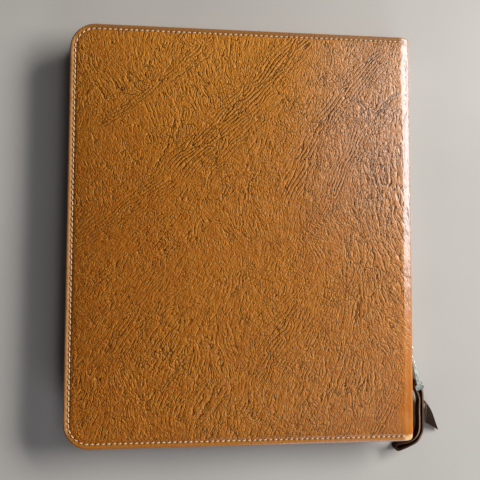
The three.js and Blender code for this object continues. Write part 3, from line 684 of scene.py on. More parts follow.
def wrinkle_net(k, across, along, width, dome):
    """Cells drawn out along the stored direction: six turned cell patterns, each used where the direction is near its own.
    Returns the groove lines (1 on a cell's border) and the cells' rounded tops (1 away from it)."""
    flat = k.node("CombineXYZ")
    k.put(flat.inputs[0], k.attr("over"))
    k.put(flat.inputs[1], k.attr("along"))
    wave = k.node("TexNoise")
    k.put(wave.inputs["Vector"], flat.outputs[0])
    wave.inputs["Scale"].default_value = 420.0
    wave.inputs["Detail"].default_value = 2.0
    shift = k.node("VectorMath", operation="SUBTRACT")
    k.put(shift.inputs[0], wave.outputs["Color"])
    shift.inputs[1].default_value = (0.5, 0.5, 0.5)
    moved = k.node("VectorMath", operation="MULTIPLY_ADD")
    k.put(moved.inputs[0], shift.outputs[0])
    moved.inputs[1].default_value = (0.0013, 0.0013, 0.0)
    k.put(moved.inputs[2], flat.outputs[0])
    way_c, way_s = k.attr("way_c"), k.attr("way_s")
    line, top = None, None
    for m in range(6):
        turn = math.pi * m / 6
        place = k.node("Mapping", vector_type="TEXTURE")
        k.put(place.inputs["Vector"], moved.outputs[0])
        place.inputs["Location"].default_value = (0.37 * m, 0.21 * m, 0.0)
        place.inputs["Rotation"].default_value = (0.0, 0.0, turn)
        place.inputs["Scale"].default_value = (along, across, 1.0)
        cells = k.node("TexVoronoi", voronoi_dimensions="2D", feature="DISTANCE_TO_EDGE")
        k.put(cells.inputs["Vector"], place.outputs[0])
        cells.inputs["Scale"].default_value = 1.0
        edge = cells.outputs["Distance"]
        near = k.math("MULTIPLY_ADD", way_c, math.cos(2 * turn), k.math("MULTIPLY", way_s, math.sin(2 * turn)))
        share = k.range(near, 0.79, 0.94)
        here = k.math("MULTIPLY", k.range(edge, 0.0, width, 1.0, 0.0), share)
        high = k.math("MULTIPLY", k.range(edge, 0.0, dome), share)
        line = here if line is None else k.math("ADD", line, here)
        top = high if top is None else k.math("ADD", top, high)
    return line, top


def tan_leather():
    k = Look("tan_leather", Specular_IOR_Level=0.08, Coat_Weight=0.56, Coat_Roughness=0.32, Coat_IOR=1.62, IOR=1.5)
    rim, flesh, shoulder = k.attr("rim"), k.attr("flesh"), k.attr("shoulder")
    over, along = k.attr("over"), k.attr("along")
    # crisp grooves along the zero lines of the crease noises
    relief, crest_highlight, groove = None, None, None
    for name, dark, full in (("fine", 0.30, 0.08), ("mid", 0.90, 0.24), ("deep", 0.95, 0.30), ("lines", 0.85, 0.36), ("fold", 1.0, 0.22)):
        n, amount = k.math("ABSOLUTE", k.attr("n_" + name)), k.attr("a_" + name)
        low = k.math("MULTIPLY", amount, k.math("SUBTRACT", k.math("TANH", k.math("DIVIDE", n, WIDTH_OF[name])), 1.0))
        relief = low if relief is None else k.math("MINIMUM", relief, low)
        strong = k.math("DIVIDE", amount, full, clamp=True)
        line = k.range(n, 0.0, WIDTH_OF[name] * 0.55, 1.0, 0.0)
        line = k.math("MULTIPLY", line, k.math("MULTIPLY", strong, dark))
        groove = line if groove is None else k.math("MAXIMUM", groove, line)
        lip = k.math("MULTIPLY", k.range(n, WIDTH_OF[name] * 0.55, WIDTH_OF[name] * 1.15), k.range(n, WIDTH_OF[name] * 1.15, WIDTH_OF[name] * 2.3, 1.0, 0.0))
        lip = k.math("MULTIPLY", lip, strong)
        crest_highlight = lip if crest_highlight is None else k.math("MAXIMUM", crest_highlight, lip)
    # a net of small wrinkles between them
    calm = k.math("MULTIPLY", k.math("SUBTRACT", 1.0, k.math("MULTIPLY", shoulder, k.range(along, -0.095, -0.030, 0.72, 0.12))), k.math("SUBTRACT", 1.0, flesh))
    calm = k.math("MULTIPLY", calm, k.range(k.attr("margin"), 2.6, 6.0, 0.25, 1.0))
    net_line, net_top = wrinkle_net(k, 0.0022, 0.0033, 0.085, 0.20)
    # the leather is drawn up into higher folds towards the zip
    drawn = k.range(over, -0.03, 0.085, 0.0, 1.0)
    net_depth = k.math("MULTIPLY", k.range(k.noise(170, 3.0, 0.6), 0.34, 0.66, 0.35, 1.0), calm)
    net_depth = k.math("MULTIPLY", net_depth, k.range(k.noise(46, 3.0, 0.55), 0.38, 0.62, 0.25, 1.1))
    groove = k.math("MAXIMUM", groove, k.math("MULTIPLY", k.math("MULTIPLY", net_line, net_depth), 0.62))
    broad = k.range(k.noise(16, 2.0), 0.32, 0.68)
    mottle = k.noise(130, 5.0, 0.62)
    speck = k.noise(1500, 2.0, 0.6)
    base = k.mix(broad, (0.350, 0.087, 0.0015), (0.415, 0.115, 0.0030))
    # painted shade and sheen: darker towards the near end and paler towards the far end, standing in for how the window
    # light falls along the front
    base = k.mix(k.range(along, -0.110, 0.030, 0.48, 0.0), base, (0.305, 0.064, 0.001))
    base = k.mix(k.range(along, 0.030, 0.120, 0.0, 0.45), base, (0.500, 0.176, 0.010))
    base = k.mix(k.range(along, 0.040, 0.125, 0.0, 0.55), base, (0.590, 0.215, 0.026))
    base = k.mix(k.range(mottle, 0.35, 0.72, 0.0, 0.45), base, (0.445, 0.154, 0.008))
    base = k.mix(k.range(speck, 0.45, 0.75, 0.0, 0.22), base, (0.26, 0.068, 0.003))
    # painted shade: darker towards the long stitched edge, where less window light falls
    base = k.mix(k.range(over, -0.108, -0.030, 0.52, 0.0), base, (0.235, 0.046, 0.001))
    # painted shade: redder and darker at the long stitched edge, most towards the near end
    left_shade_red = k.math("MULTIPLY", k.range(over, -0.108, 0.030, 0.36, 0.0), k.range(along, -0.020, 0.070, 1.0, 0.25))
    base = k.mix(left_shade_red, base, (0.335, 0.046, 0.001))
    # painted shade in the grooves and painted highlights on the ridges and crease lips, on top of the bump's own
    # shading
    base = k.mix(k.math("MULTIPLY", groove, k.math("MULTIPLY_ADD", drawn, -0.24, 0.66)), base, (0.135, 0.029, 0.0020))
    ridge_highlight = k.range(relief, -0.16, 0.0, 0.0, 0.24)
    base = k.mix(ridge_highlight, base, (0.52, 0.198, 0.014))
    base = k.mix(k.math("MULTIPLY", crest_highlight, 0.60), base, (0.66, 0.285, 0.034))
    # painted sheen: the ridges towards the far end of the shoulder are painted paler, standing in for the window's
    # reflection there
    painted_sheen = k.math("MULTIPLY", k.range(over, 0.020, 0.092), k.range(along, -0.045, 0.095, 0.10, 1.0))
    crest_sheen = k.math("MULTIPLY", k.math("MULTIPLY", crest_highlight, painted_sheen), 0.55)
    painted_sheen = k.math("MULTIPLY", painted_sheen, k.range(net_top, 0.15, 0.85, 0.03, 0.36))
    base = k.mix(painted_sheen, base, (0.48, 0.300, 0.215))
    base = k.mix(crest_sheen, base, (0.76, 0.52, 0.40))
    # painted highlight: the top of the roll is painted paler and cooler than the rest, standing in for the window's
    # reflection on it
    roll_highlight = k.math("MULTIPLY", k.range(over, 0.1015, 0.1050), k.range(over, 0.1115, 0.1150, 1.0, 0.0))
    roll_highlight = k.math("MULTIPLY", roll_highlight, k.range(along, -0.060, 0.020, 0.0, 0.55))
    base = k.mix(roll_highlight, base, (0.33, 0.32, 0.35))
    margin = k.range(k.attr("margin"), 2.0, 5.5, 1.0, 0.0)
    base = k.mix(k.math("MULTIPLY", margin, 0.45), base, (0.53, 0.215, 0.034))
    long_edge = k.math("MULTIPLY", k.range(over, -0.1058, -0.1072), k.range(k.noise(300, 3.0), 0.3, 0.7, 0.35, 0.75))
    base = k.mix(long_edge, base, (0.66, 0.33, 0.125))
    far_edge = k.math("MULTIPLY", k.range(along, HY * MM - 0.0042, HY * MM - 0.0028), k.range(over, -0.104, -0.095))
    base = k.mix(k.math("MULTIPLY", far_edge, 0.62), base, (0.205, 0.092, 0.034))
    # painted shade in the needle holes
    base = k.mix(k.math("MULTIPLY", k.attr("hole"), 0.70), base, (0.07, 0.020, 0.003))
    edge_tone = k.mix(k.noise(260, 4.0), (0.33, 0.14, 0.045), (0.46, 0.24, 0.105))
    # painted reflection: the rim along the near edge is painted pale lavender, standing in for the sky light it
    # reflects
    rim_reflection = k.math("MULTIPLY", k.range(along, -0.1285, -0.1300), k.range(over, -0.002, 0.030))
    edge_tone = k.mix(k.math("MULTIPLY", rim_reflection, 0.75), edge_tone, (0.60, 0.50, 0.46))
    base = k.mix(k.math("MULTIPLY", rim, 0.85, clamp=True), base, edge_tone)
    # painted highlight: the near corner beside the zip is painted pale cream, standing in for the light it catches
    wear_and_highlight = k.math("MULTIPLY", k.range(over, 0.1015, 0.1055), k.range(along, -0.1265, -0.1290))
    wear_and_highlight = k.math("MULTIPLY", wear_and_highlight, k.range(k.noise(500, 3.0), 0.3, 0.6, 0.45, 0.95))
    base = k.mix(wear_and_highlight, base, (0.78, 0.52, 0.27))
    suede = k.mix(k.noise(900, 3.0), (0.34, 0.185, 0.082), (0.46, 0.275, 0.14))
    base = k.mix(flesh, base, suede)
    rough = k.math("ADD", k.range(mottle, 0.3, 0.75, 0.42, 0.54), k.math("MULTIPLY", groove, 0.20))
    rough = k.math("ADD", rough, k.math("MULTIPLY", flesh, 0.4), clamp=True)
    rough = k.math("SUBTRACT", rough, k.math("MULTIPLY", rim, 0.14))
    rough = k.math("SUBTRACT", rough, k.math("MULTIPLY", shoulder, 0.08))
    pebbles = k.range(k.cells(900, "F1"), 0.08, 0.78, 1.0, 0.0)
    pebble_depth = k.math("MULTIPLY", k.range(k.noise(210, 3.0, 0.6), 0.34, 0.66, 0.045, 0.105), calm)
    net_height = k.math("MULTIPLY", net_depth, k.math("MULTIPLY_ADD", drawn, 0.12, 0.20))
    far = k.range(along, -0.02, 0.10, 1.0, 1.30)
    net_height = k.math("MULTIPLY", net_height, far)
    height = k.math("MULTIPLY", relief, k.math("MULTIPLY", far, k.math("MULTIPLY_ADD", drawn, 0.20, 1.2)))
    height = k.math("ADD", height, k.math("MULTIPLY", net_top, net_height))
    height = k.math("ADD", height, k.math("MULTIPLY", pebbles, pebble_depth))
    height = k.math("ADD", height, k.math("MULTIPLY", k.math("MULTIPLY", k.noise(2600, 2.0), calm), 0.035))
    return k.set(Base_Color=base, Roughness=rough, Normal=k.bump(height, 1.0, 0.0018))


def side_leather():
    k = Look("side_leather", Specular_IOR_Level=0.45, IOR=1.5)
    rim = k.attr("rim")
    mottle = k.noise(150, 5.0, 0.6)
    base = k.mix(k.range(mottle, 0.3, 0.72), (0.30, 0.088, 0.008), (0.40, 0.135, 0.014))
    base = k.mix(k.range(k.noise(24, 2.0), 0.35, 0.65, 0.0, 0.4), base, (0.27, 0.078, 0.008))
    edge_tone = k.mix(k.noise(260, 4.0), (0.30, 0.13, 0.045), (0.42, 0.22, 0.10))
    base = k.mix(k.math("MULTIPLY", rim, 0.9, clamp=True), base, edge_tone)
    cells = k.range(k.cells(720, "DISTANCE_TO_EDGE"), 0.0, 0.22)
    # painted shade along the borders of the grain's cells
    base = k.mix(k.range(cells, 0.0, 0.5, 0.35, 0.0), base, (0.16, 0.042, 0.004))
    height = k.math("ADD", k.math("MULTIPLY", cells, 0.5), k.math("MULTIPLY", k.noise(1900, 3.0), 0.4))
    return k.set(Base_Color=base, Roughness=k.range(mottle, 0.3, 0.7, 0.46, 0.6), Normal=k.bump(height, 0.5, 0.00022))


def dark_leather():
    k = Look("dark_leather", Specular_IOR_Level=0.05, IOR=1.5)
    cut = k.attr("cut")
    mottle = k.noise(240, 5.0, 0.6)
    face = k.mix(k.range(mottle, 0.3, 0.72), (0.016, 0.0056, 0.0022), (0.044, 0.0165, 0.0062))
    # the flat end is darker than the doubled strip
    streak = k.noise(1.0, 3.0, 0.6, k.map(0.5, (0.006, 0.0007, 0.002)))
    darker_end_face = k.mix(k.range(streak, 0.35, 0.68), (0.0040, 0.0016, 0.0006), (0.017, 0.0074, 0.0026))
    face = k.mix(k.attr("flat_end"), face, darker_end_face)
    edge = k.mix(k.noise(700, 4.0), (0.27, 0.15, 0.085), (0.47, 0.31, 0.195))
    fibres = k.range(k.noise(2200, 3.0), 0.35, 0.7, 0.0, 0.35)
    edge = k.mix(fibres, edge, (0.15, 0.07, 0.036))
    base = k.mix(k.range(cut, 0.12, 0.95), face, edge)
    cells = k.range(k.cells(1150, "DISTANCE_TO_EDGE"), 0.0, 0.24)
    height = k.math("ADD", k.math("MULTIPLY", cells, 0.5), k.math("MULTIPLY", k.noise(2400, 3.0), 0.45))
    rough = k.math("ADD", k.range(mottle, 0.3, 0.7, 0.48, 0.64), k.math("MULTIPLY", cut, 0.2), clamp=True)
    return k.set(Base_Color=base, Roughness=rough, Normal=k.bump(height, 0.45, 0.00018))


def zip_metal():
    k = Look("antique_nickel", Metallic=1.0, IOR=1.5)
    wear_and_highlight = k.noise(420, 4.0, 0.6)
    base = k.mix(k.range(wear_and_highlight, 0.32, 0.7), (0.47, 0.51, 0.45), (0.74, 0.80, 0.73))
    patina = k.range(k.noise(900, 5.0, 0.65), 0.50, 0.78, 0.0, 0.55)
    base = k.mix(patina, base, (0.26, 0.25, 0.205))
    base = k.mix(k.math("MULTIPLY", k.attr("hollow"), 0.75, clamp=True), base, (0.12, 0.105, 0.08))
    scratch = k.noise(1.0, 2.0, 0.5, k.map(0.5, (0.0045, 0.00025, 0.0006)))
    rough = k.math("ADD", k.range(wear_and_highlight, 0.3, 0.7, 0.36, 0.24), k.math("MULTIPLY", patina, 0.22))
    return k.set(Base_Color=base, Roughness=rough, Normal=k.bump(scratch, 0.14, 0.0001))


def zip_tape():
    k = Look("zip_tape", Specular_IOR_Level=0.25, Sheen_Weight=0.25, Sheen_Roughness=0.5)
    n = k.node("SeparateXYZ")
    k.put(n.inputs[0], k.co)
    y, z = n.outputs[1], n.outputs[2]
    warp = k.math("SINE", k.math("MULTIPLY", y, 2 * math.pi / 0.00075))
    weft = k.math("SINE", k.math("MULTIPLY", z, 2 * math.pi / 0.00062))
    twill = k.math("SINE", k.math("ADD", k.math("MULTIPLY", y, 2 * math.pi / 0.0015), k.math("MULTIPLY", z, 2 * math.pi / 0.00124)))
    weave = k.math("ADD", k.math("MULTIPLY", k.math("MULTIPLY", warp, weft), 0.6), k.math("MULTIPLY", twill, 0.4))
    fuzz = k.noise(2600, 3.0)
    base = k.mix(k.range(weave, -0.6, 0.8), (0.020, 0.011, 0.0065), (0.070, 0.043, 0.027))
    base = k.mix(k.range(fuzz, 0.45, 0.75, 0.0, 0.4), base, (0.105, 0.068, 0.045))
    height = k.math("ADD", k.math("MULTIPLY", weave, 0.5), k.math("MULTIPLY", fuzz, 0.5))
    return k.set(Base_Color=base, Roughness=k.range(fuzz, 0.3, 0.7, 0.78, 0.92), Normal=k.bump(height, 0.7, 0.00015))


def thread():
    k = Look("sewing_thread", Specular_IOR_Level=0.35, Sheen_Weight=0.2, Sheen_Roughness=0.4)
    tone = k.range(k.noise(190, 3.0), 0.3, 0.7)
    base = k.mix(tone, (0.60, 0.44, 0.25), (0.74, 0.58, 0.37))
    # painted shade in the grooves between the thread's twisted plies
    base = k.mix(k.math("MULTIPLY", k.attr("hollow"), 0.75, clamp=True), base, (0.36, 0.20, 0.085))
    fibre = k.noise(5200, 3.0)
    return k.set(Base_Color=base, Roughness=k.range(fibre, 0.3, 0.7, 0.5, 0.68), Normal=k.bump(fibre, 0.35, 0.00008))


TAN, SIDE, DARK, METAL, CLOTH, THREAD = tan_leather(), side_leather(), dark_leather(), zip_metal(), zip_tape(), thread()


# ------------------------------------------------------------------ stitch line
def stitch_path():
    """Centres along the three stitched edges, from the zip end of the far edge round to the zip end of the near edge:
    unrolled x, y and the direction along the line."""
    d, r = STITCH["inset"], CORNER_LEFT - STITCH["inset"]
    x_far, y_in = -HX + CORNER_LEFT, HY - CORNER_LEFT
    straight = STITCH["end"] - x_far
    arc = r * math.pi / 2
    total = 2 * straight + 2 * arc + 2 * y_in
    count = int(round(total / STITCH["pitch"]))

    def at(s):
        if s <= straight:
            return STITCH["end"] - s, HY - d, -1.0, 0.0
        s -= straight
        if s <= arc:
            a = math.pi / 2 + s / r
            return x_far + r * math.cos(a), y_in + r * math.sin(a), -math.sin(a), math.cos(a)
        s -= arc
        if s <= 2 * y_in:
            return -HX + d, y_in - s, 0.0, -1.0
        s -= 2 * y_in
        if s <= arc:
            a = math.pi + s / r
            return x_far + r * math.cos(a), -y_in + r * math.sin(a), -math.sin(a), math.cos(a)
        s -= arc
        return x_far + s, -HY + d, 1.0, 0.0

    return at, total, count


def unrolled(s):
    """Flat x and roll angle for a distance across the front panel measured over its skin."""
    over = np.maximum(0, s - SHOULDER_X)
    angle = over / ROLL[4] * math.pi / 2
    return np.minimum(s, SHOULDER_X), angle


def stitches(side):
    at, total, count = stitch_path()
    rng = np.random.default_rng(71 if side == "front" else 72)
    rings, around = 11, 9
    build = Build("hollow")
    pitch = total / count
    for k in range(count):
        mid = (k + 0.5) * pitch
        on_left = abs(at(mid)[3]) > 0.98
        shown = STITCH["shown_left"] if on_left else STITCH["shown"]
        shown *= 1 + 0.05 * rng.standard_normal()
        half = pitch * min(shown, 0.93) / 2
        lean = math.radians(5.5) + 0.03 * rng.standard_normal()
        r0 = STITCH["thread"] * (1 + 0.05 * rng.standard_normal())
        lift = 0.05 * rng.standard_normal()
        path, ups = [], []
        for u in np.linspace(-1, 1, rings):
            x, y, tx, ty = at(min(max(mid + u * half, 0.0), total))
            x, y = x - ty * math.tan(lean) * u * half, y + tx * math.tan(lean) * u * half
            shape = 1 - abs(u) ** 3.5
            if side == "front":
                fx, ang = unrolled(np.array(x))
                p = front_skin(fx, ang, np.array(y))
                h = shoulder_normal(ang, SHOULDER_HIGH) if ang > 0 else np.array([0.0, 0.0, 1.0])
                p = p + h * (-STITCH["groove"] - 0.75 + (0.75 + 0.62 * r0 + 0.06 * lift) * shape)
            else:
                p = np.array([min(x, BACK_ROLL_X), y, 0.0])
                h = np.array([0.0, 0.0, -1.0])
                p = p + h * (-1.25 + (1.25 - 0.80 * r0) * shape)
            path.append(p)
            ups.append(h)
        path, ups = np.array(path), np.array(ups)
        tangent = unit(np.gradient(path, axis=0))
        sides = unit(np.cross(tangent, ups))
        ups = np.cross(sides, tangent)
        a = np.linspace(0, 2 * math.pi, around, endpoint=False)
        turn = np.linspace(0, 2.6, rings)[:, None]
        ply = np.cos(2 * (a[None, :] - turn * 1.2))
        ends = np.clip(1.0 - 0.35 * np.abs(np.linspace(-1, 1, rings))[:, None] ** 6, 0, 1)
        radius = r0 * ends * (1 + 0.11 * ply)
        flat = 1.0 if side == "front" else 0.62
        section = np.stack([radius * np.cos(a), flat * radius * np.sin(a)], -1)
        pts, faces = sweep(path, sides, ups, section)
        # hollow marks the grooves between the plies, which the thread's material paints in shade
        build.add(pts, faces, hollow=np.clip(0.5 - 0.5 * ply, 0, 1).reshape(-1) ** 3)
    ob = build.make("stitches_" + side, THREAD)
    fix_normals(ob)
    return ob


# ------------------------------------------------------------------ front panel
def sink(s, y):
    """How far the soft front sinks towards its shoulder, in mm, away from the two sewn ends."""
    run = SHOULDER_X - SINK["start"]
    t = np.clip((s - SINK["start"]) / run, 0, 1)
    u = np.clip((s - SHOULDER_X) / ROLL[4], 0, 1)
    back = 2 * u ** 3 - 3 * u ** 2 + 1 + 2 * ROLL[4] / run * (u ** 3 - 2 * u ** 2 + u)
    return SINK["depth"] * np.where(s <= SHOULDER_X, t * t, back) * smooth((HY - np.abs(y) - 5) / SINK["end_run"])


def front_panel():
    inset = RIM["inset"]
    corner = -HX + inset + (CORNER_LEFT - inset) * (1 - np.cos(np.linspace(0, math.pi / 2, 29)))
    flat = np.linspace(corner[-1], SHOULDER_X, 232)[1:]
    x = np.concatenate([corner, flat, np.full(17, SHOULDER_X)])
    angle = np.concatenate([np.zeros(len(corner) + len(flat)), np.linspace(0, math.pi / 2, 18)[1:]])
    rows = np.linspace(-1, 1, 301)
    plan_x = np.where(angle > 0, SHOULDER_X + SHOULDER["reach"] * shoulder(angle)[0], x)
    hi = half_length(plan_x, inset)
    extra = RIM["bottom_extra"] * smooth((plan_x + 20) / 80)
    lo = -hi + extra
    X, A = np.broadcast_to(x[:, None], (len(x), 301)), np.broadcast_to(angle[:, None], (len(x), 301))
    Y = lo[:, None] + (rows[None, :] + 1) / 2 * (hi - lo)[:, None]
    base = front_skin(X, A, Y)
    # distance over the skin, so that the grain runs on over the shoulder
    S = np.where(A > 0, SHOULDER_X + ROLL[4] * A / (math.pi / 2), X)
    base = base - np.stack([0 * S, 0 * S, sink(S, Y)], -1)
    du, dv = np.gradient(base, axis=0), np.gradient(base, axis=1)
    normal = unit(np.cross(du, dv))
    inner = base - normal * LEATHER
    layers, swells, weights = front_grain()
    d = edge_distance(np.where(A > 0, SHOULDER_X, X), Y)
    keep = smooth((d - 2.6) / 4.2)
    # smoother leather on the turned shoulder and towards its near end
    near_end = smooth((Y + 114) / 84)
    over = 1 - (0.50 + 0.30 * (1 - near_end)) * smooth((S - 99.0) / 7.5)
    calm = 1 - 0.60 * smooth((S - 82) / 22) * (1 - near_end)
    keep = keep * over * calm
    h = sample(crease_height(layers) + swells, S, Y) * keep
    on_line = np.exp(-((d - STITCH["inset"]) / 0.8) ** 2) * (S < STITCH["end"] + 1.5)
    h = h - STITCH["groove"] * on_line
    # the margin outside the stitches swells slightly
    h = h + 0.10 * np.exp(-((d - 1.7) / 0.8) ** 2) + 0.12 * np.exp(-((d - 6.0) / 1.8) ** 2)
    outer = base + normal * h[..., None]
    # needle holes between the stitches: small dents, painted dark in the material as shade in them
    at, total, count = stitch_path()
    hole = np.zeros(X.shape)
    pitch = total / count
    holes = np.array([at(min(k * pitch, total))[:2] for k in range(count + 1)])
    close = np.argwhere((d < 5.0) & (d > 1.8) & (S < STITCH["end"] + 2))
    hx, hy = S[close[:, 0], close[:, 1]], Y[close[:, 0], close[:, 1]]
    for c in range(0, len(close), 4000):
        r2 = ((hx[c:c + 4000, None] - holes[None, :, 0]) ** 2 + (hy[c:c + 4000, None] - holes[None, :, 1]) ** 2).min(1)
        hole[close[c:c + 4000, 0], close[c:c + 4000, 1]] = np.exp(-r2 / 0.55 ** 2)
    outer = outer - normal * (0.28 * hole)[..., None]
    rim = np.full(X.shape, inset)
    rim[:, 0] = inset + extra
    rim[-1, :] = 0.4
    values = {"margin": d, "hole": hole, "shoulder": np.maximum(smooth((S - 99.0) / 7.0), 0.6 * smooth((S - 82) / 22) * (1 - near_end))}
    values.update(way_c=sample(weights[0], S, Y), way_s=sample(weights[1], S, Y), over=S * MM, along=Y * MM)
    for name, (noise, amount) in layers.items():
        values["n_" + name] = sample(noise, S, Y)
        values["a_" + name] = sample(amount, S, Y) * keep
    points, faces, values = skin_solid(outer, inner, normal, rim, LEATHER, RIM["steps"], 4, values)
    return piece("front_panel_leather", points, faces, TAN, ["front_panel"], values)


# ------------------------------------------------------------------ back panel
def back_panel():
    inset = 0.9
    corner = -HX + inset + (CORNER_LEFT - inset) * (1 - np.cos(np.linspace(0, math.pi / 2, 17)))
    flat = np.linspace(corner[-1], BACK_ROLL_X, 117)[1:]
    x = np.concatenate([corner, flat, np.full(12, BACK_ROLL_X)])
    angle = np.concatenate([np.zeros(len(corner) + len(flat)), np.linspace(0, math.pi / 2, 13)[1:]])
    cut = (len(x) - 1) % 4
    if cut:
        flat = np.linspace(corner[-1], BACK_ROLL_X, 117 - cut)[1:]
        x = np.concatenate([corner, flat, np.full(12, BACK_ROLL_X)])
        angle = np.concatenate([np.zeros(len(corner) + len(flat)), np.linspace(0, math.pi / 2, 13)[1:]])
    rows = np.linspace(-1, 1, 161)
    plan_x = np.where(angle > 0, BACK_ROLL_X + BACK_ROLL["radius"] * np.sin(angle), x)
    Y = rows[None, :] * half_length(plan_x, inset)[:, None]
    X, A = np.broadcast_to(x[:, None], Y.shape), np.broadcast_to(angle[:, None], Y.shape)
    lip = BACK_ROLL["lip"] * 0.5
    base = back_skin(X, A, Y)
    normal = np.stack([np.sin(A), 0 * A, -np.cos(A)], -1)
    inner = back_skin(X, A, Y, LEATHER)
    way = np.full(GX.shape, math.radians(118)) + soft_noise(51, 26.0) * 0.5 + soft_noise(52, 8.0) * 0.14
    patches = smooth(0.5 + 0.4 * soft_noise(53, 18.0))
    layers = {"fine": (crease_noise(56, 1.9, 0.4, way, band=0.32), 0.10 + 0 * way),
              "mid": (crease_noise(54, 3.0, 0.22, way), 0.22 * (0.3 + 0.8 * patches)),
              "deep": (crease_noise(55, 5.2, 0.17, way), 0.26 * (1 - patches))}
    low = -crease_height(layers)
    S = np.where(A > 0, BACK_ROLL_X + BACK_ROLL["radius"] * A, X)
    d = edge_distance(np.where(A > 0, BACK_ROLL_X, X), Y)
    keep = smooth((d - 2.6) / 4.2) * np.where(A > 0, 1 - 0.6 * smooth(A / 1.2), 1)
    h = sample(low, S, Y) * keep + 0.62 * np.exp(-((d - STITCH["inset"]) / 0.85) ** 2) * (S < BACK_ROLL_X)
    outer = base - normal * h[..., None]
    rim = np.full(X.shape, inset)
    rim[-1, :] = lip * 2
    values = {"margin": d, "hole": 0 * d, "shoulder": 0 * d}
    for name, (noise, amount) in layers.items():
        values["n_" + name] = sample(noise, S, Y)
        values["a_" + name] = sample(amount, S, Y) * keep
    values.update(way_c=sample(np.cos(2 * way), S, Y), way_s=sample(np.sin(2 * way), S, Y), over=S * MM, along=Y * MM)
    # rows run the other way round, so that the fine face looks down
    flip = {k: v[:, ::-1] for k, v in values.items()}
    points, faces, values = skin_solid(outer[:, ::-1], inner[:, ::-1], normal[:, ::-1], rim[:, ::-1], LEATHER, 6, 4, flip)
    points[:, 2] = np.maximum(points[:, 2], 0.0)
    return piece("back_panel_leather", points, faces, TAN, ["back_panel"], values)


# ------------------------------------------------------------------ gusset
def gusset():
    near, far = LEATHER + 0.06, LEATHER + 0.06 + GUSSET_LEATHER
    stations = []
    for sign in (1, -1):
        part = []
        for a in np.linspace(math.radians(82), math.radians(22), 9):
            part.append((SHOULDER_X + SHOULDER["reach"] * float(shoulder(a)[0]), a, sign, (0.0, sign)))
        for x in np.linspace(SHOULDER_X - 1.2, -HX + CORNER_LEFT, 80):
            part.append((x, 0.0, sign, (0.0, sign)))
        for a in np.linspace(math.pi / 2, 0, 22)[1:]:
            part.append((-HX + CORNER_LEFT * (1 - math.cos(a)), 0.0, sign, (-math.cos(a), sign * math.sin(a))))
        if sign == 1:
            stations += part
            end = (HY - CORNER_LEFT) / float(half_length(-HX))
            for t in np.linspace(1, -1, 92)[1:-1]:
                stations.append((-HX, 0.0, t * end, (-1.0, 0.0)))
        else:
            stations += part[::-1]
    n = len(stations)
    sx = np.array([s[0] for s in stations])
    ang = np.array([s[1] for s in stations])
    across = np.array([s[2] for s in stations])
    out = np.array([[*s[3], 0.0] for s in stations])
    y = across * half_length(sx)
    b_ang = np.where(sx > BACK_ROLL_X, np.arcsin(np.clip((sx - BACK_ROLL_X) / BACK_ROLL["radius"], 0, 1)), 0.0)
    flat_x = np.where(ang > 0, SHOULDER_X, sx)

    def edge(depth):
        p = front_skin(flat_x, ang, y, depth)
        p[:, 2] = np.where(ang > 0, p[:, 2], MARGIN_Z - depth)
        return p

    def foot(depth):
        return back_skin(np.minimum(sx, BACK_ROLL_X), b_ang, y, depth)

    length = np.concatenate([[0], np.cumsum(np.linalg.norm(np.diff(edge(0)[:, :2], axis=0), axis=1))])
    turning = np.array([abs(s[3][0]) > 0.02 and abs(s[3][1]) > 0.02 for s in stations], float)
    kern = np.exp(-(np.arange(-9, 10) / 4.0) ** 2)
    turning = np.convolve(turning, kern / kern.sum(), mode="same")
    rng = np.random.default_rng(81)
    wave = np.zeros(n)
    for k in range(14):
        wave += rng.standard_normal() * np.cos(2 * math.pi * length / rng.uniform(14, 70) + rng.uniform(0, 6.3)) / 4
    pucker = turning * np.cos(2 * math.pi * length / 4.6)
    bow = GUSSET_BOW * (1.0 + 0.28 * wave) + 0.32 * pucker

    def chain(depth, inset, radius, extra):
        A, B = edge(depth), foot(depth)
        H = np.linalg.norm(A - B, axis=1)
        down = unit(B - A)
        rows = []
        for d in np.linspace(inset, FLANGE + extra - radius, 6):
            rows.append(A - out * d)
        for a in np.linspace(0, math.pi / 2, 6)[1:]:
            d = FLANGE + extra - radius + radius * math.sin(a)
            rows.append(A - out * d + down * (radius * (1 - math.cos(a))))
        for w in np.linspace(0, 1, 13)[1:-1]:
            drop = radius + w * (H - 2 * radius)
            shape = np.sin(math.pi * w)
            ripple = 0.10 * np.sin(2 * math.pi * (length / 9.0 + w * 1.3)) * shape
            rows.append(A - out * (FLANGE + extra + bow * shape + ripple)[:, None] + down * drop[:, None])
        for a in np.linspace(math.pi / 2, 0, 6)[:-1]:
            d = FLANGE + extra - radius + radius * math.sin(a)
            rows.append(B - out * d - down * (radius * (1 - math.cos(a))))
        for d in np.linspace(FLANGE + extra - radius, inset, 6):
            rows.append(B - out * d)
        return rows

    outer = chain(far, 0.7, 1.2, 0.0)
    inner = chain(near, 0.7, 2.2, GUSSET_LEATHER)
    tip_top = [edge((near + far) / 2) - out * 0.05]
    tip_low = [foot((near + far) / 2) - out * 0.05]
    ring = outer + tip_low + inner[::-1] + tip_top
    m = len(ring)
    pts = np.stack(ring, 1)
    faces = grid_faces(n, m, wrap_v=True)
    faces.append(list(range(m)))
    faces.append(list(range((n - 1) * m, n * m))[::-1])
    rim = np.zeros((n, m))
    tips = (0, len(outer) - 1, len(outer), len(outer) + 1, m - 2, m - 1)
    for t in tips:
        rim[:, t] = 1.0
    pts[..., 2] = np.maximum(pts[..., 2], 0.0)
    ob = piece("gusset_leather", pts.reshape(-1, 3), faces, SIDE, ["gusset"], {"rim": rim.reshape(-1)})
    fix_normals(ob)
    return ob


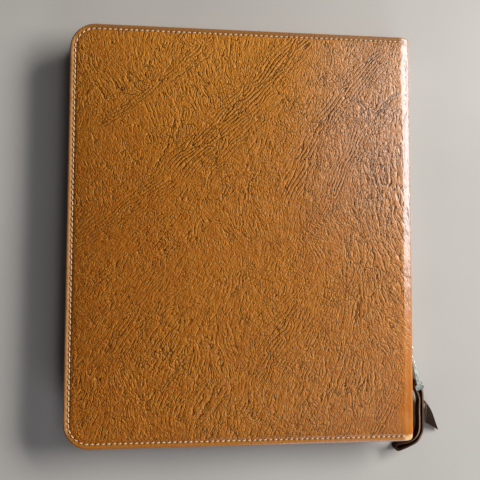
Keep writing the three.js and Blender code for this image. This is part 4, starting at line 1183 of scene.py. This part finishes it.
# ------------------------------------------------------------------ zip
def tapes():
    for name, node in (("front", "zipper_tape_front"), ("back", "zipper_tape_back")):
        ys = np.linspace(-TAPE["end"], TAPE["end"], 489)
        gap = parting(ys)
        if name == "front":
            lo, hi = ZIP_Z + TAPE["inner"] + gap / 2 - 0.35, np.full(len(ys), TAPE["front_top"])
        else:
            lo, hi = np.full(len(ys), TAPE["back_low"]), ZIP_Z - TAPE["inner"] - gap / 2 + 0.35
        section = rounded_box_section(0.5, 0.5, 0.22, 3)
        sec = np.array(section)
        mid, half = (lo + hi) / 2, (hi - lo) / 2
        rng = np.random.default_rng(91 if name == "front" else 92)
        sway = sum(rng.standard_normal() * np.cos(2 * math.pi * ys / w + rng.uniform(0, 6.3)) for w in (23.0, 37.0, 61.0)) * 0.05
        thick = (TAPE["x1"] - TAPE["x0"]) / 2 * 0.8
        rib = 0.05 * np.cos(2 * math.pi * ys / 1.0)
        pts = np.zeros((len(ys), len(sec), 3))
        pts[..., 0] = (TAPE["x0"] + TAPE["x1"]) / 2 + sway[:, None] + sec[None, :, 0] * 2 * (thick + rib[:, None])
        pts[..., 1] = ys[:, None]
        pts[..., 2] = mid[:, None] + np.sign(sec[None, :, 1]) * np.maximum(half[:, None] - (0.5 - np.abs(sec[None, :, 1])) * 1.0, 0)
        faces = grid_faces(len(ys), len(sec), wrap_v=True)
        faces.append(list(range(len(sec))))
        faces.append(list(range((len(ys) - 1) * len(sec), len(ys) * len(sec)))[::-1])
        ob = piece("zip_tape_" + name, pts.reshape(-1, 3), faces, CLOTH, [node])
        fix_normals(ob)


def prism(outline, x0, x1, bevel, steps=2):
    """Outline in (y, z) carried along X with rounded edges; the outline is near convex."""
    o = np.asarray(outline, float)
    nxt, prv = np.roll(o, -1, 0), np.roll(o, 1, 0)
    e1, e2 = unit(nxt - o), unit(o - prv)
    n1 = np.stack([-e1[:, 1], e1[:, 0]], -1)
    n2 = np.stack([-e2[:, 1], e2[:, 0]], -1)
    area = 0.5 * np.sum(o[:, 0] * nxt[:, 1] - nxt[:, 0] * o[:, 1])
    inward = unit(n1 + n2) * (1 if area > 0 else -1)
    loops = []
    for k in range(steps + 1):
        a = math.pi / 2 * k / steps
        loops.append((bevel * (1 - math.sin(a)), x0 + bevel * (1 - math.cos(a))))
    loops += [(i, x1 - (x - x0)) for i, x in loops[::-1]]
    pts = []
    for inset, x in loops:
        q = o + inward * inset
        pts.append(np.column_stack([np.full(len(o), x), q[:, 0], q[:, 1]]))
    m = len(o)
    faces = grid_faces(len(loops), m, wrap_v=True)
    faces.append(list(range(m))[::-1])
    faces.append(list(range((len(loops) - 1) * m, len(loops) * m)))
    return np.concatenate(pts), faces


def tooth(y, z, up):
    """One cast tooth: a leg that grips the tape and a narrower head; up is +1 for the upper row."""
    h, w = TOOTH["half"], TOOTH["head"]
    shape = [(h * 0.8, 2.2), (h, 1.95), (h, 1.0), (w, 0.55), (w, -0.45), (w * 0.62, -0.78)]
    outline = [(y + a, z + up * b) for a, b in shape] + [(y - a, z + up * b) for a, b in reversed(shape)]
    return prism(outline, CHAIN["x0"], CHAIN["x1"], 0.26)


def teeth():
    half = TOOTH["pitch"] / 2
    start, stop = TAPE["end"] - 2.4, PARTING[0][0] + 0.9
    chain = Build("hollow")
    y, k = start, 0
    while y > stop:
        up = 1 if k % 2 == 0 else -1
        pts, faces = tooth(y, ZIP_Z, up)
        chain.add(pts, faces, hollow=0.0)
        y -= half
        k += 1
    # the top stop: a small clamp over both rows
    o = [(TAPE["end"] - 0.1, ZIP_Z - 2.0), (TAPE["end"] - 0.1, ZIP_Z + 2.0), (TAPE["end"] - 0.5, ZIP_Z + 2.2),
         (TAPE["end"] - 1.3, ZIP_Z + 2.0), (TAPE["end"] - 1.3, ZIP_Z - 2.0), (TAPE["end"] - 0.5, ZIP_Z - 2.2)]
    pts, faces = prism(o, CHAIN["x0"], CHAIN["x1"], 0.3, 3)
    chain.add(pts, faces, hollow=0.2)
    ob = chain.make("zip_chain_teeth", METAL, ["zipper_chain"], sharp=50)
    fix_normals(ob)
    first = y
    for name, up, node in (("front", 1, "teeth_row_front"), ("back", -1, "teeth_row_back")):
        row = Build("hollow")
        yy = first if (k % 2 == 0) == (up == 1) else first - half
        while yy > -TAPE["end"] + 1.6:
            pts, faces = tooth(yy, ZIP_Z + up * (float(parting(yy)) / 2 + 0.15), up)
            row.add(pts, faces, hollow=0.0)
            yy -= TOOTH["pitch"]
        zc = ZIP_Z + up * (1.2 + float(parting(-TAPE["end"] + 0.8)) / 2)
        o = [(-TAPE["end"] + 0.1, zc - 0.95), (-TAPE["end"] + 0.1, zc + 0.95), (-TAPE["end"] + 1.4, zc + 0.95), (-TAPE["end"] + 1.4, zc - 0.95)]
        pts, faces = prism(o, CHAIN["x0"] + 0.1, CHAIN["x1"] - 0.1, 0.3, 3)
        row.add(pts, faces, hollow=0.1)
        ob = row.make("zip_teeth_" + name, METAL, [node], sharp=50)
        fix_normals(ob)


def slider():
    y_top, y_low, half_top, half_low, plate = -70.0, -81.0, 2.9, 3.3, 1.15
    outer_x, inner_x = CHAIN["x1"] + 0.3, CHAIN["x0"] - 0.3
    key = [(y_top, 0.0), (y_top - 0.25, 1.5), (y_top - 1.3, 2.65), (y_top - 3.2, half_top), (y_top - 5.5, half_top + 0.02),
           (y_top - 7.6, half_low - 0.1), (y_low + 2.0, half_low), (y_low + 0.8, half_low - 0.45), (y_low + 0.12, half_low - 1.6), (y_low, 0.0)]
    loop = key + [(y, -z) for y, z in reversed(key[1:-1])]
    smooth_loop = catmull([(y, ZIP_Z + z) for y, z in loop], 56)
    b = Build("hollow")
    for x0, x1 in ((outer_x, outer_x + plate), (inner_x - plate, inner_x)):
        pts, faces = prism(smooth_loop, x0, x1, 0.36, 4)
        b.add(pts, faces, hollow=0.0)
    # side lips that hold the teeth in line
    for sign in (1, -1):
        z0 = ZIP_Z + sign * (half_top - 0.16)
        o = [(y_top - 1.4, z0 - 0.2), (y_top - 1.4, z0 + 0.2), (y_top - 5.0, z0 + 0.2), (y_top - 5.0, z0 - 0.2)]
        pts, faces = prism(o, outer_x - (outer_x - TAPE["x1"] - 0.3), outer_x + 0.5, 0.1, 2)
        b.add(pts, faces, hollow=0.6)
    # the wedge that parts the rows
    wedge = [(y_low + 0.35, 0.0), (y_low + 0.7, 0.62), (y_low + 1.7, 0.68), (y_low + 2.5, 0.0), (y_low + 1.7, -0.68), (y_low + 0.7, -0.62)]
    pts, faces = prism(catmull([(y, ZIP_Z + z) for y, z in wedge], 20), inner_x - 0.4, outer_x + 0.4, 0.05, 2)
    b.add(pts, faces, hollow=0.5)
    # bail: a rounded wire bridge over the outer plate
    top = outer_x + plate
    y_a, y_b, y_m = y_top - 2.15, y_low + 2.15, (y_top + y_low) / 2
    arch = [(top - 0.7, y_a), (top + 0.6, y_a), (top + 1.75, y_a - 0.3), (top + 2.45, y_a - 1.25), (top + 2.55, y_m),
            (top + 2.45, y_b + 1.25), (top + 1.75, y_b + 0.3), (top + 0.6, y_b), (top - 0.7, y_b)]
    line = catmull(arch, 44, closed=False)
    path = np.column_stack([line[:, 0], line[:, 1], np.full(len(line), ZIP_Z)])
    t = unit(np.gradient(path, axis=0))
    ups = np.broadcast_to(np.array([0.0, 0.0, 1.0]), path.shape)
    sides = np.cross(ups, t)
    pts, faces = sweep(path, sides, ups, rounded_box_section(0.55, 0.7, 0.42, 4))
    b.add(pts, faces, hollow=0.0)
    # two pads where the bail is riveted to the plate
    for y in (y_a, y_b):
        pad = [(y + 1.0 * math.cos(a), ZIP_Z + 1.15 * math.sin(a)) for a in np.linspace(0, 2 * math.pi, 20, endpoint=False)]
        pts, faces = prism(pad, top - 0.3, top + 0.35, 0.22, 3)
        b.add(pts, faces, hollow=0.25)
    ob = b.make("zip_slider", METAL, ["slider"], sharp=40)
    fix_normals(ob)


def puller():
    a, b = np.array(PULLER["pivot"]), np.array(PULLER["bar"])
    along = unit(b - a)
    length = float(np.linalg.norm(b - a))
    up = unit(np.array([0.0, 0.0, 1.0]) - along * along[2])
    through = np.cross(along, up)
    build = Build("hollow")
    hp, hb, ip, ib = PULLER["half_pivot"], PULLER["half_bar"], PULLER["hole_pivot"], PULLER["hole_bar"]
    tp, tb, r = PULLER["thick_pivot"] / 2, PULLER["thick_bar"] / 2, PULLER["bar_radius"]

    def place(u, v, w=0.0):
        return a + along * u + up * v + through * w

    # one cast bow: up one leg, over the eye at the pivot and down the other leg
    leg_p, leg_b = (hp + ip) / 2, (hb + ib) / 2
    mid = [(u, leg_p + (leg_b - leg_p) * u / length) for u in (2.4, 6.0, 10.0, 14.0, 18.0)]
    side = [(0.35, leg_p - 0.16), (1.1, leg_p + 0.02)] + mid + [(length, leg_b)]
    route = [(u, -v) for u, v in reversed(side)] + [(-0.02, 0.0)] + side
    line = catmull(route, 130, closed=False)
    path = np.array([place(u, v) for u, v in line])
    t = unit(np.gradient(path, axis=0))
    ups = np.broadcast_to(through, path.shape)
    sides = np.cross(ups, t)
    swell = tp + (tb - tp) * np.clip(line[:, 0] / length, 0, 1) ** 0.9
    unit_sec = np.array(rounded_box_section(0.45, 1.0, 0.30, 5))
    section = np.broadcast_to(unit_sec, (len(path), len(unit_sec), 2)).copy()
    b_half = section[..., 1]
    section[..., 1] = np.sign(b_half) * (swell[:, None] - (1.0 - np.abs(b_half)))
    pts, faces = sweep(path, sides, ups, section)
    build.add(pts, faces, hollow=0.0)
    # the bar
    ring = np.linspace(0, 2 * math.pi, 24, endpoint=False)
    stations = [(-hb + 0.4, 1.0), (-ib + 0.3, 1.0), (-ib + 0.9, 0.94), (0.0, 0.9), (ib - 0.9, 0.94), (ib - 0.3, 1.0), (hb - 0.4, 1.0)]
    pts = np.array([[place(length + r * k * math.cos(q), v, r * k * math.sin(q)) for q in ring] for v, k in stations])
    faces = grid_faces(len(stations), 24, wrap_v=True)
    faces.append(list(range(24)))
    faces.append(list(range((len(stations) - 1) * 24, len(stations) * 24))[::-1])
    build.add(pts.reshape(-1, 3), faces, hollow=0.35)
    # rounded caps on the bar's two ends
    ct, ca = PULLER["cap_through"], PULLER["cap_along"]
    q = np.linspace(0, 2 * math.pi, 40, endpoint=False)
    c, d = np.cos(q), np.sin(q)
    cu, cw = np.sign(c) * np.abs(c) ** 0.6, np.sign(d) * np.abs(d) ** 0.6
    for s in (1, -1):
        rows = []
        for k in range(13):
            e = -math.pi / 2 + math.pi * k / 12
            v = (hb + ib) / 2 + (hb - ib) / 2 * np.sign(math.sin(e)) * abs(math.sin(e)) ** 0.6
            inset = 0.34 * (1 - abs(math.cos(e)) ** 0.6)
            rows.append([place(length + (ca - inset) * x, s * v, (ct - inset) * y) for x, y in zip(cu, cw)])
        faces = grid_faces(13, 40, wrap_v=True)
        faces.append(list(range(40)))
        faces.append(list(range(12 * 40, 13 * 40))[::-1])
        build.add(np.array(rows).reshape(-1, 3), faces, hollow=0.0)
    ob = build.make("zip_puller", METAL, ["puller"], sharp=50)
    fix_normals(ob)


# ------------------------------------------------------------------ pull loop and tail
def pull_loop():
    bx, by, _ = PULLER["bar"]
    turn = PULLER["bar_radius"] + 0.75 + STRAP["thick"] / 2
    around = [(bx + turn * math.cos(math.radians(q)), by + turn * math.sin(math.radians(q))) for q in (-20, 20, 55, 90, 125, 160, 200)]
    line = catmull(around + list(LOOP_ROUTE), 360)
    n = len(line)
    t = unit(np.roll(line, -1, 0) - np.roll(line, 1, 0))
    side = np.stack([-t[:, 1], t[:, 0]], -1)
    low = STRAP["rest_z"] + STRAP["lift"] * smooth((line[:, 1] - STRAP["lift_from"]) / (STRAP["lift_to"] - STRAP["lift_from"]))
    rng = np.random.default_rng(95)
    s = np.linspace(0, 2 * math.pi, n, endpoint=False)
    sway = sum(rng.standard_normal() * np.cos(k * s + rng.uniform(0, 6.3)) for k in range(3, 11)) * 0.035
    sec = []
    across = 9
    ht, hw = STRAP["thick"] / 2, STRAP["width"] / 2
    # section round the strap: cut top, one face, cut bottom, other face
    half = rounded_box_section(ht, hw, 0.28, 3)
    dense = []
    for (a0, b0), (a1, b1) in zip(half, half[1:] + half[:1]):
        steps = max(1, int(math.dist((a0, b0), (a1, b1)) / (0.12 if abs(a1 - a0) > abs(b1 - b0) else 0.7)))
        for k in range(steps):
            dense.append((a0 + (a1 - a0) * k / steps, b0 + (b1 - b0) * k / steps))
    dense = np.array(dense)
    m = len(dense)
    bulge = 0.05 * np.cos(dense[:, 1] / hw * math.pi / 2) * np.sign(dense[:, 0])
    pts = np.zeros((n, m, 3))
    pts[..., 0] = line[:, None, 0] + side[:, None, 0] * (dense[None, :, 0] + bulge)
    pts[..., 1] = line[:, None, 1] + side[:, None, 1] * (dense[None, :, 0] + bulge)
    pts[..., 2] = low[:, None] + hw + dense[None, :, 1] * (1 + 0.03 * sway[:, None]) + 0.4 * sway[:, None]
    # the pale core of the cut edges shows most where the strap was skived, and is dyed over round the turn
    cut = smooth((np.abs(dense[:, 1]) - (hw - 0.34)) / 0.26) * smooth((0.52 - np.abs(dense[:, 0] + 0.06)) / 0.26)
    shown = 0.25 + 0.75 * smooth((line[:, 1] + 139.0) / 10.0)
    shown = shown * (0.82 + 0.18 * np.cos(3 * s + 0.8)) * (1 - 0.35 * smooth((line[:, 0] - 118.6) / 0.6))
    cut = shown[:, None] * cut[None, :]
    faces = grid_faces(n, m, wrap_u=True, wrap_v=True)
    ob = piece("pull_loop_leather", pts.reshape(-1, 3), faces, DARK, ["pull_loop"], {"cut": cut.reshape(-1)})
    fix_normals(ob)


def pull_tail():
    up = catmull([e[0] for e in TAIL_EDGES], 46, closed=False)
    low = catmull([e[1] for e in TAIL_EDGES], 46, closed=False)
    across = 22
    w = np.linspace(0, 1, across)
    sheet = up[:, None, :] * (1 - w[None, :, None]) + low[:, None, :] * w[None, :, None]
    du, dv = np.gradient(sheet, axis=0), np.gradient(sheet, axis=1)
    normal = unit(np.cross(du, dv))
    rng = np.random.default_rng(96)
    n, m = sheet.shape[:2]
    curl = 0.25 * np.sin(math.pi * w)[None, :] * np.linspace(0, 1, n)[:, None]
    sheet = sheet + normal * curl[..., None]
    # a rounded rim: the border is drawn in and a middle ring stands at the outline
    inset = 0.32
    u = np.linspace(0, 1, n)[:, None, None]
    centre = sheet.mean((0, 1))
    loop = [(i, 0) for i in range(n - 1)] + [(n - 1, j) for j in range(m - 1)] + [(i, m - 1) for i in range(n - 1, 0, -1)] + [(0, j) for j in range(m - 1, 0, -1)]
    li, lj = np.array(loop).T
    top = sheet + normal * TAIL_THICK / 2
    bot = sheet - normal * TAIL_THICK / 2
    ring = sheet[li, lj]
    pull = sheet[np.clip(li, 1, n - 2), np.clip(lj, 1, m - 2)] - ring
    pull = unit(pull) * inset
    top[li, lj] += pull
    bot[li, lj] += pull
    pts = np.concatenate([top.reshape(-1, 3), bot.reshape(-1, 3), ring + normal[li, lj] * TAIL_THICK * 0.28, ring - normal[li, lj] * TAIL_THICK * 0.28])
    faces = grid_faces(n, m) + grid_faces(n, m, start=n * m, flip=True)
    L = len(loop)
    first, last = li * m + lj, n * m + li * m + lj
    r1, r2 = 2 * n * m + np.arange(L), 2 * n * m + L + np.arange(L)
    for a, b in ((first, r1), (r1, r2), (r2, last)):
        for k in range(L):
            k2 = (k + 1) % L
            faces.append([a[k], b[k], b[k2], a[k2]])
    cut = np.zeros(len(pts))
    cut[2 * n * m:] = 1.0
    pts[:, 2] = np.maximum(pts[:, 2], 0.02)
    ob = piece("pull_tail_leather", pts, faces, DARK, ["pull_tail"], {"cut": cut, "flat_end": np.ones(len(pts))})
    fix_normals(ob)


front_panel()
back_panel()
gusset()
stitches("front")
stitches("back")
tapes()
teeth()
slider()
puller()
pull_loop()
pull_tail()


# ------------------------------------------------------------------ floor, light and camera
def floor():
    k = Look("pale_floor", Specular_IOR_Level=0.3)
    tone = k.range(k.noise(7, 3.0), 0.3, 0.7)
    base = k.mix(tone, (0.50, 0.478, 0.445), (0.535, 0.512, 0.477))
    k.set(Base_Color=base, Roughness=k.range(k.noise(40, 3.0), 0.3, 0.7, 0.55, 0.65))
    mesh = bpy.data.meshes.new("floor")
    n = 9
    g = np.linspace(-3.0, 3.0, n)
    mesh.from_pydata([(x, y, -0.00005) for x in g for y in g], [], grid_faces(n, n))
    mesh.materials.append(k.m)
    ob = bpy.data.objects.new("floor", mesh)
    scene.collection.objects.link(ob)


def area(name, place, target, size, power, colour):
    light = bpy.data.lights.new(name, "AREA")
    light.shape = "RECTANGLE"
    light.size, light.size_y = size
    light.energy = power
    light.color = colour
    ob = bpy.data.objects.new(name, light)
    scene.collection.objects.link(ob)
    ob.location = place
    ob.rotation_euler = (Vector(target) - Vector(place)).to_track_quat("-Z", "Y").to_euler()


floor()
area("window", (1.375, 0.500, 0.683), (0.0, 0.0, 0.0), (1.23, 0.38), 45.8, (1.0, 0.985, 0.96))
area("near_fill", (0.42, -1.25, 0.50), (0.06, -0.06, 0.0), (0.70, 0.22), 6.0, (0.86, 0.89, 1.0))
area("near_card", (0.55, -0.74, 1.50), (0.05, -0.10, 0.0), (0.60, 0.42), 1.1, (0.95, 0.95, 1.0))
area("high_card", (0.85, -0.40, 1.60), (0.0, 0.0, 0.0), (0.45, 0.45), 0.75, (0.95, 1.0, 0.98))
area("far_card", (0.74, 0.46, 1.60), (0.0, 0.0, 0.0), (0.32, 0.75), 1.8, (1.0, 0.96, 0.98))
area("ceiling", (-0.25, 0.25, 1.60), (0.0, 0.0, 0.0), (1.6, 1.6), 0.12, (1.0, 0.98, 0.95))

world = bpy.data.worlds.new("room")
world.use_nodes = True
sky = world.node_tree.nodes["Background"]
sky.inputs[0].default_value = (0.97, 0.98, 1.0, 1.0)
sky.inputs[1].default_value = 0.026
scene.world = world

camera = bpy.data.cameras.new("camera")
camera.lens = 39.0
camera.sensor_width = 36.0
camera.clip_start, camera.clip_end = 0.01, 20.0
cam = bpy.data.objects.new("camera", camera)
scene.collection.objects.link(cam)
right, up, back = Vector((0.9957, 0.0044, 0.0921)), Vector((-0.0087, 0.9989, 0.0462)), Vector((-0.0918, -0.0468, 0.9947))
back.normalize()
right = (right - back * right.dot(back)).normalized()
up = back.cross(right)
place = Matrix((right, up, back)).transposed().to_4x4()
place.translation = Vector((-33.2, -19.09, 342.53)) * MM
cam.matrix_world = place
scene.camera = cam

scene.view_settings.view_transform = "Standard"
scene.view_settings.look = "None"
scene.view_settings.exposure = 0.0

bpy.context.view_layer.update()
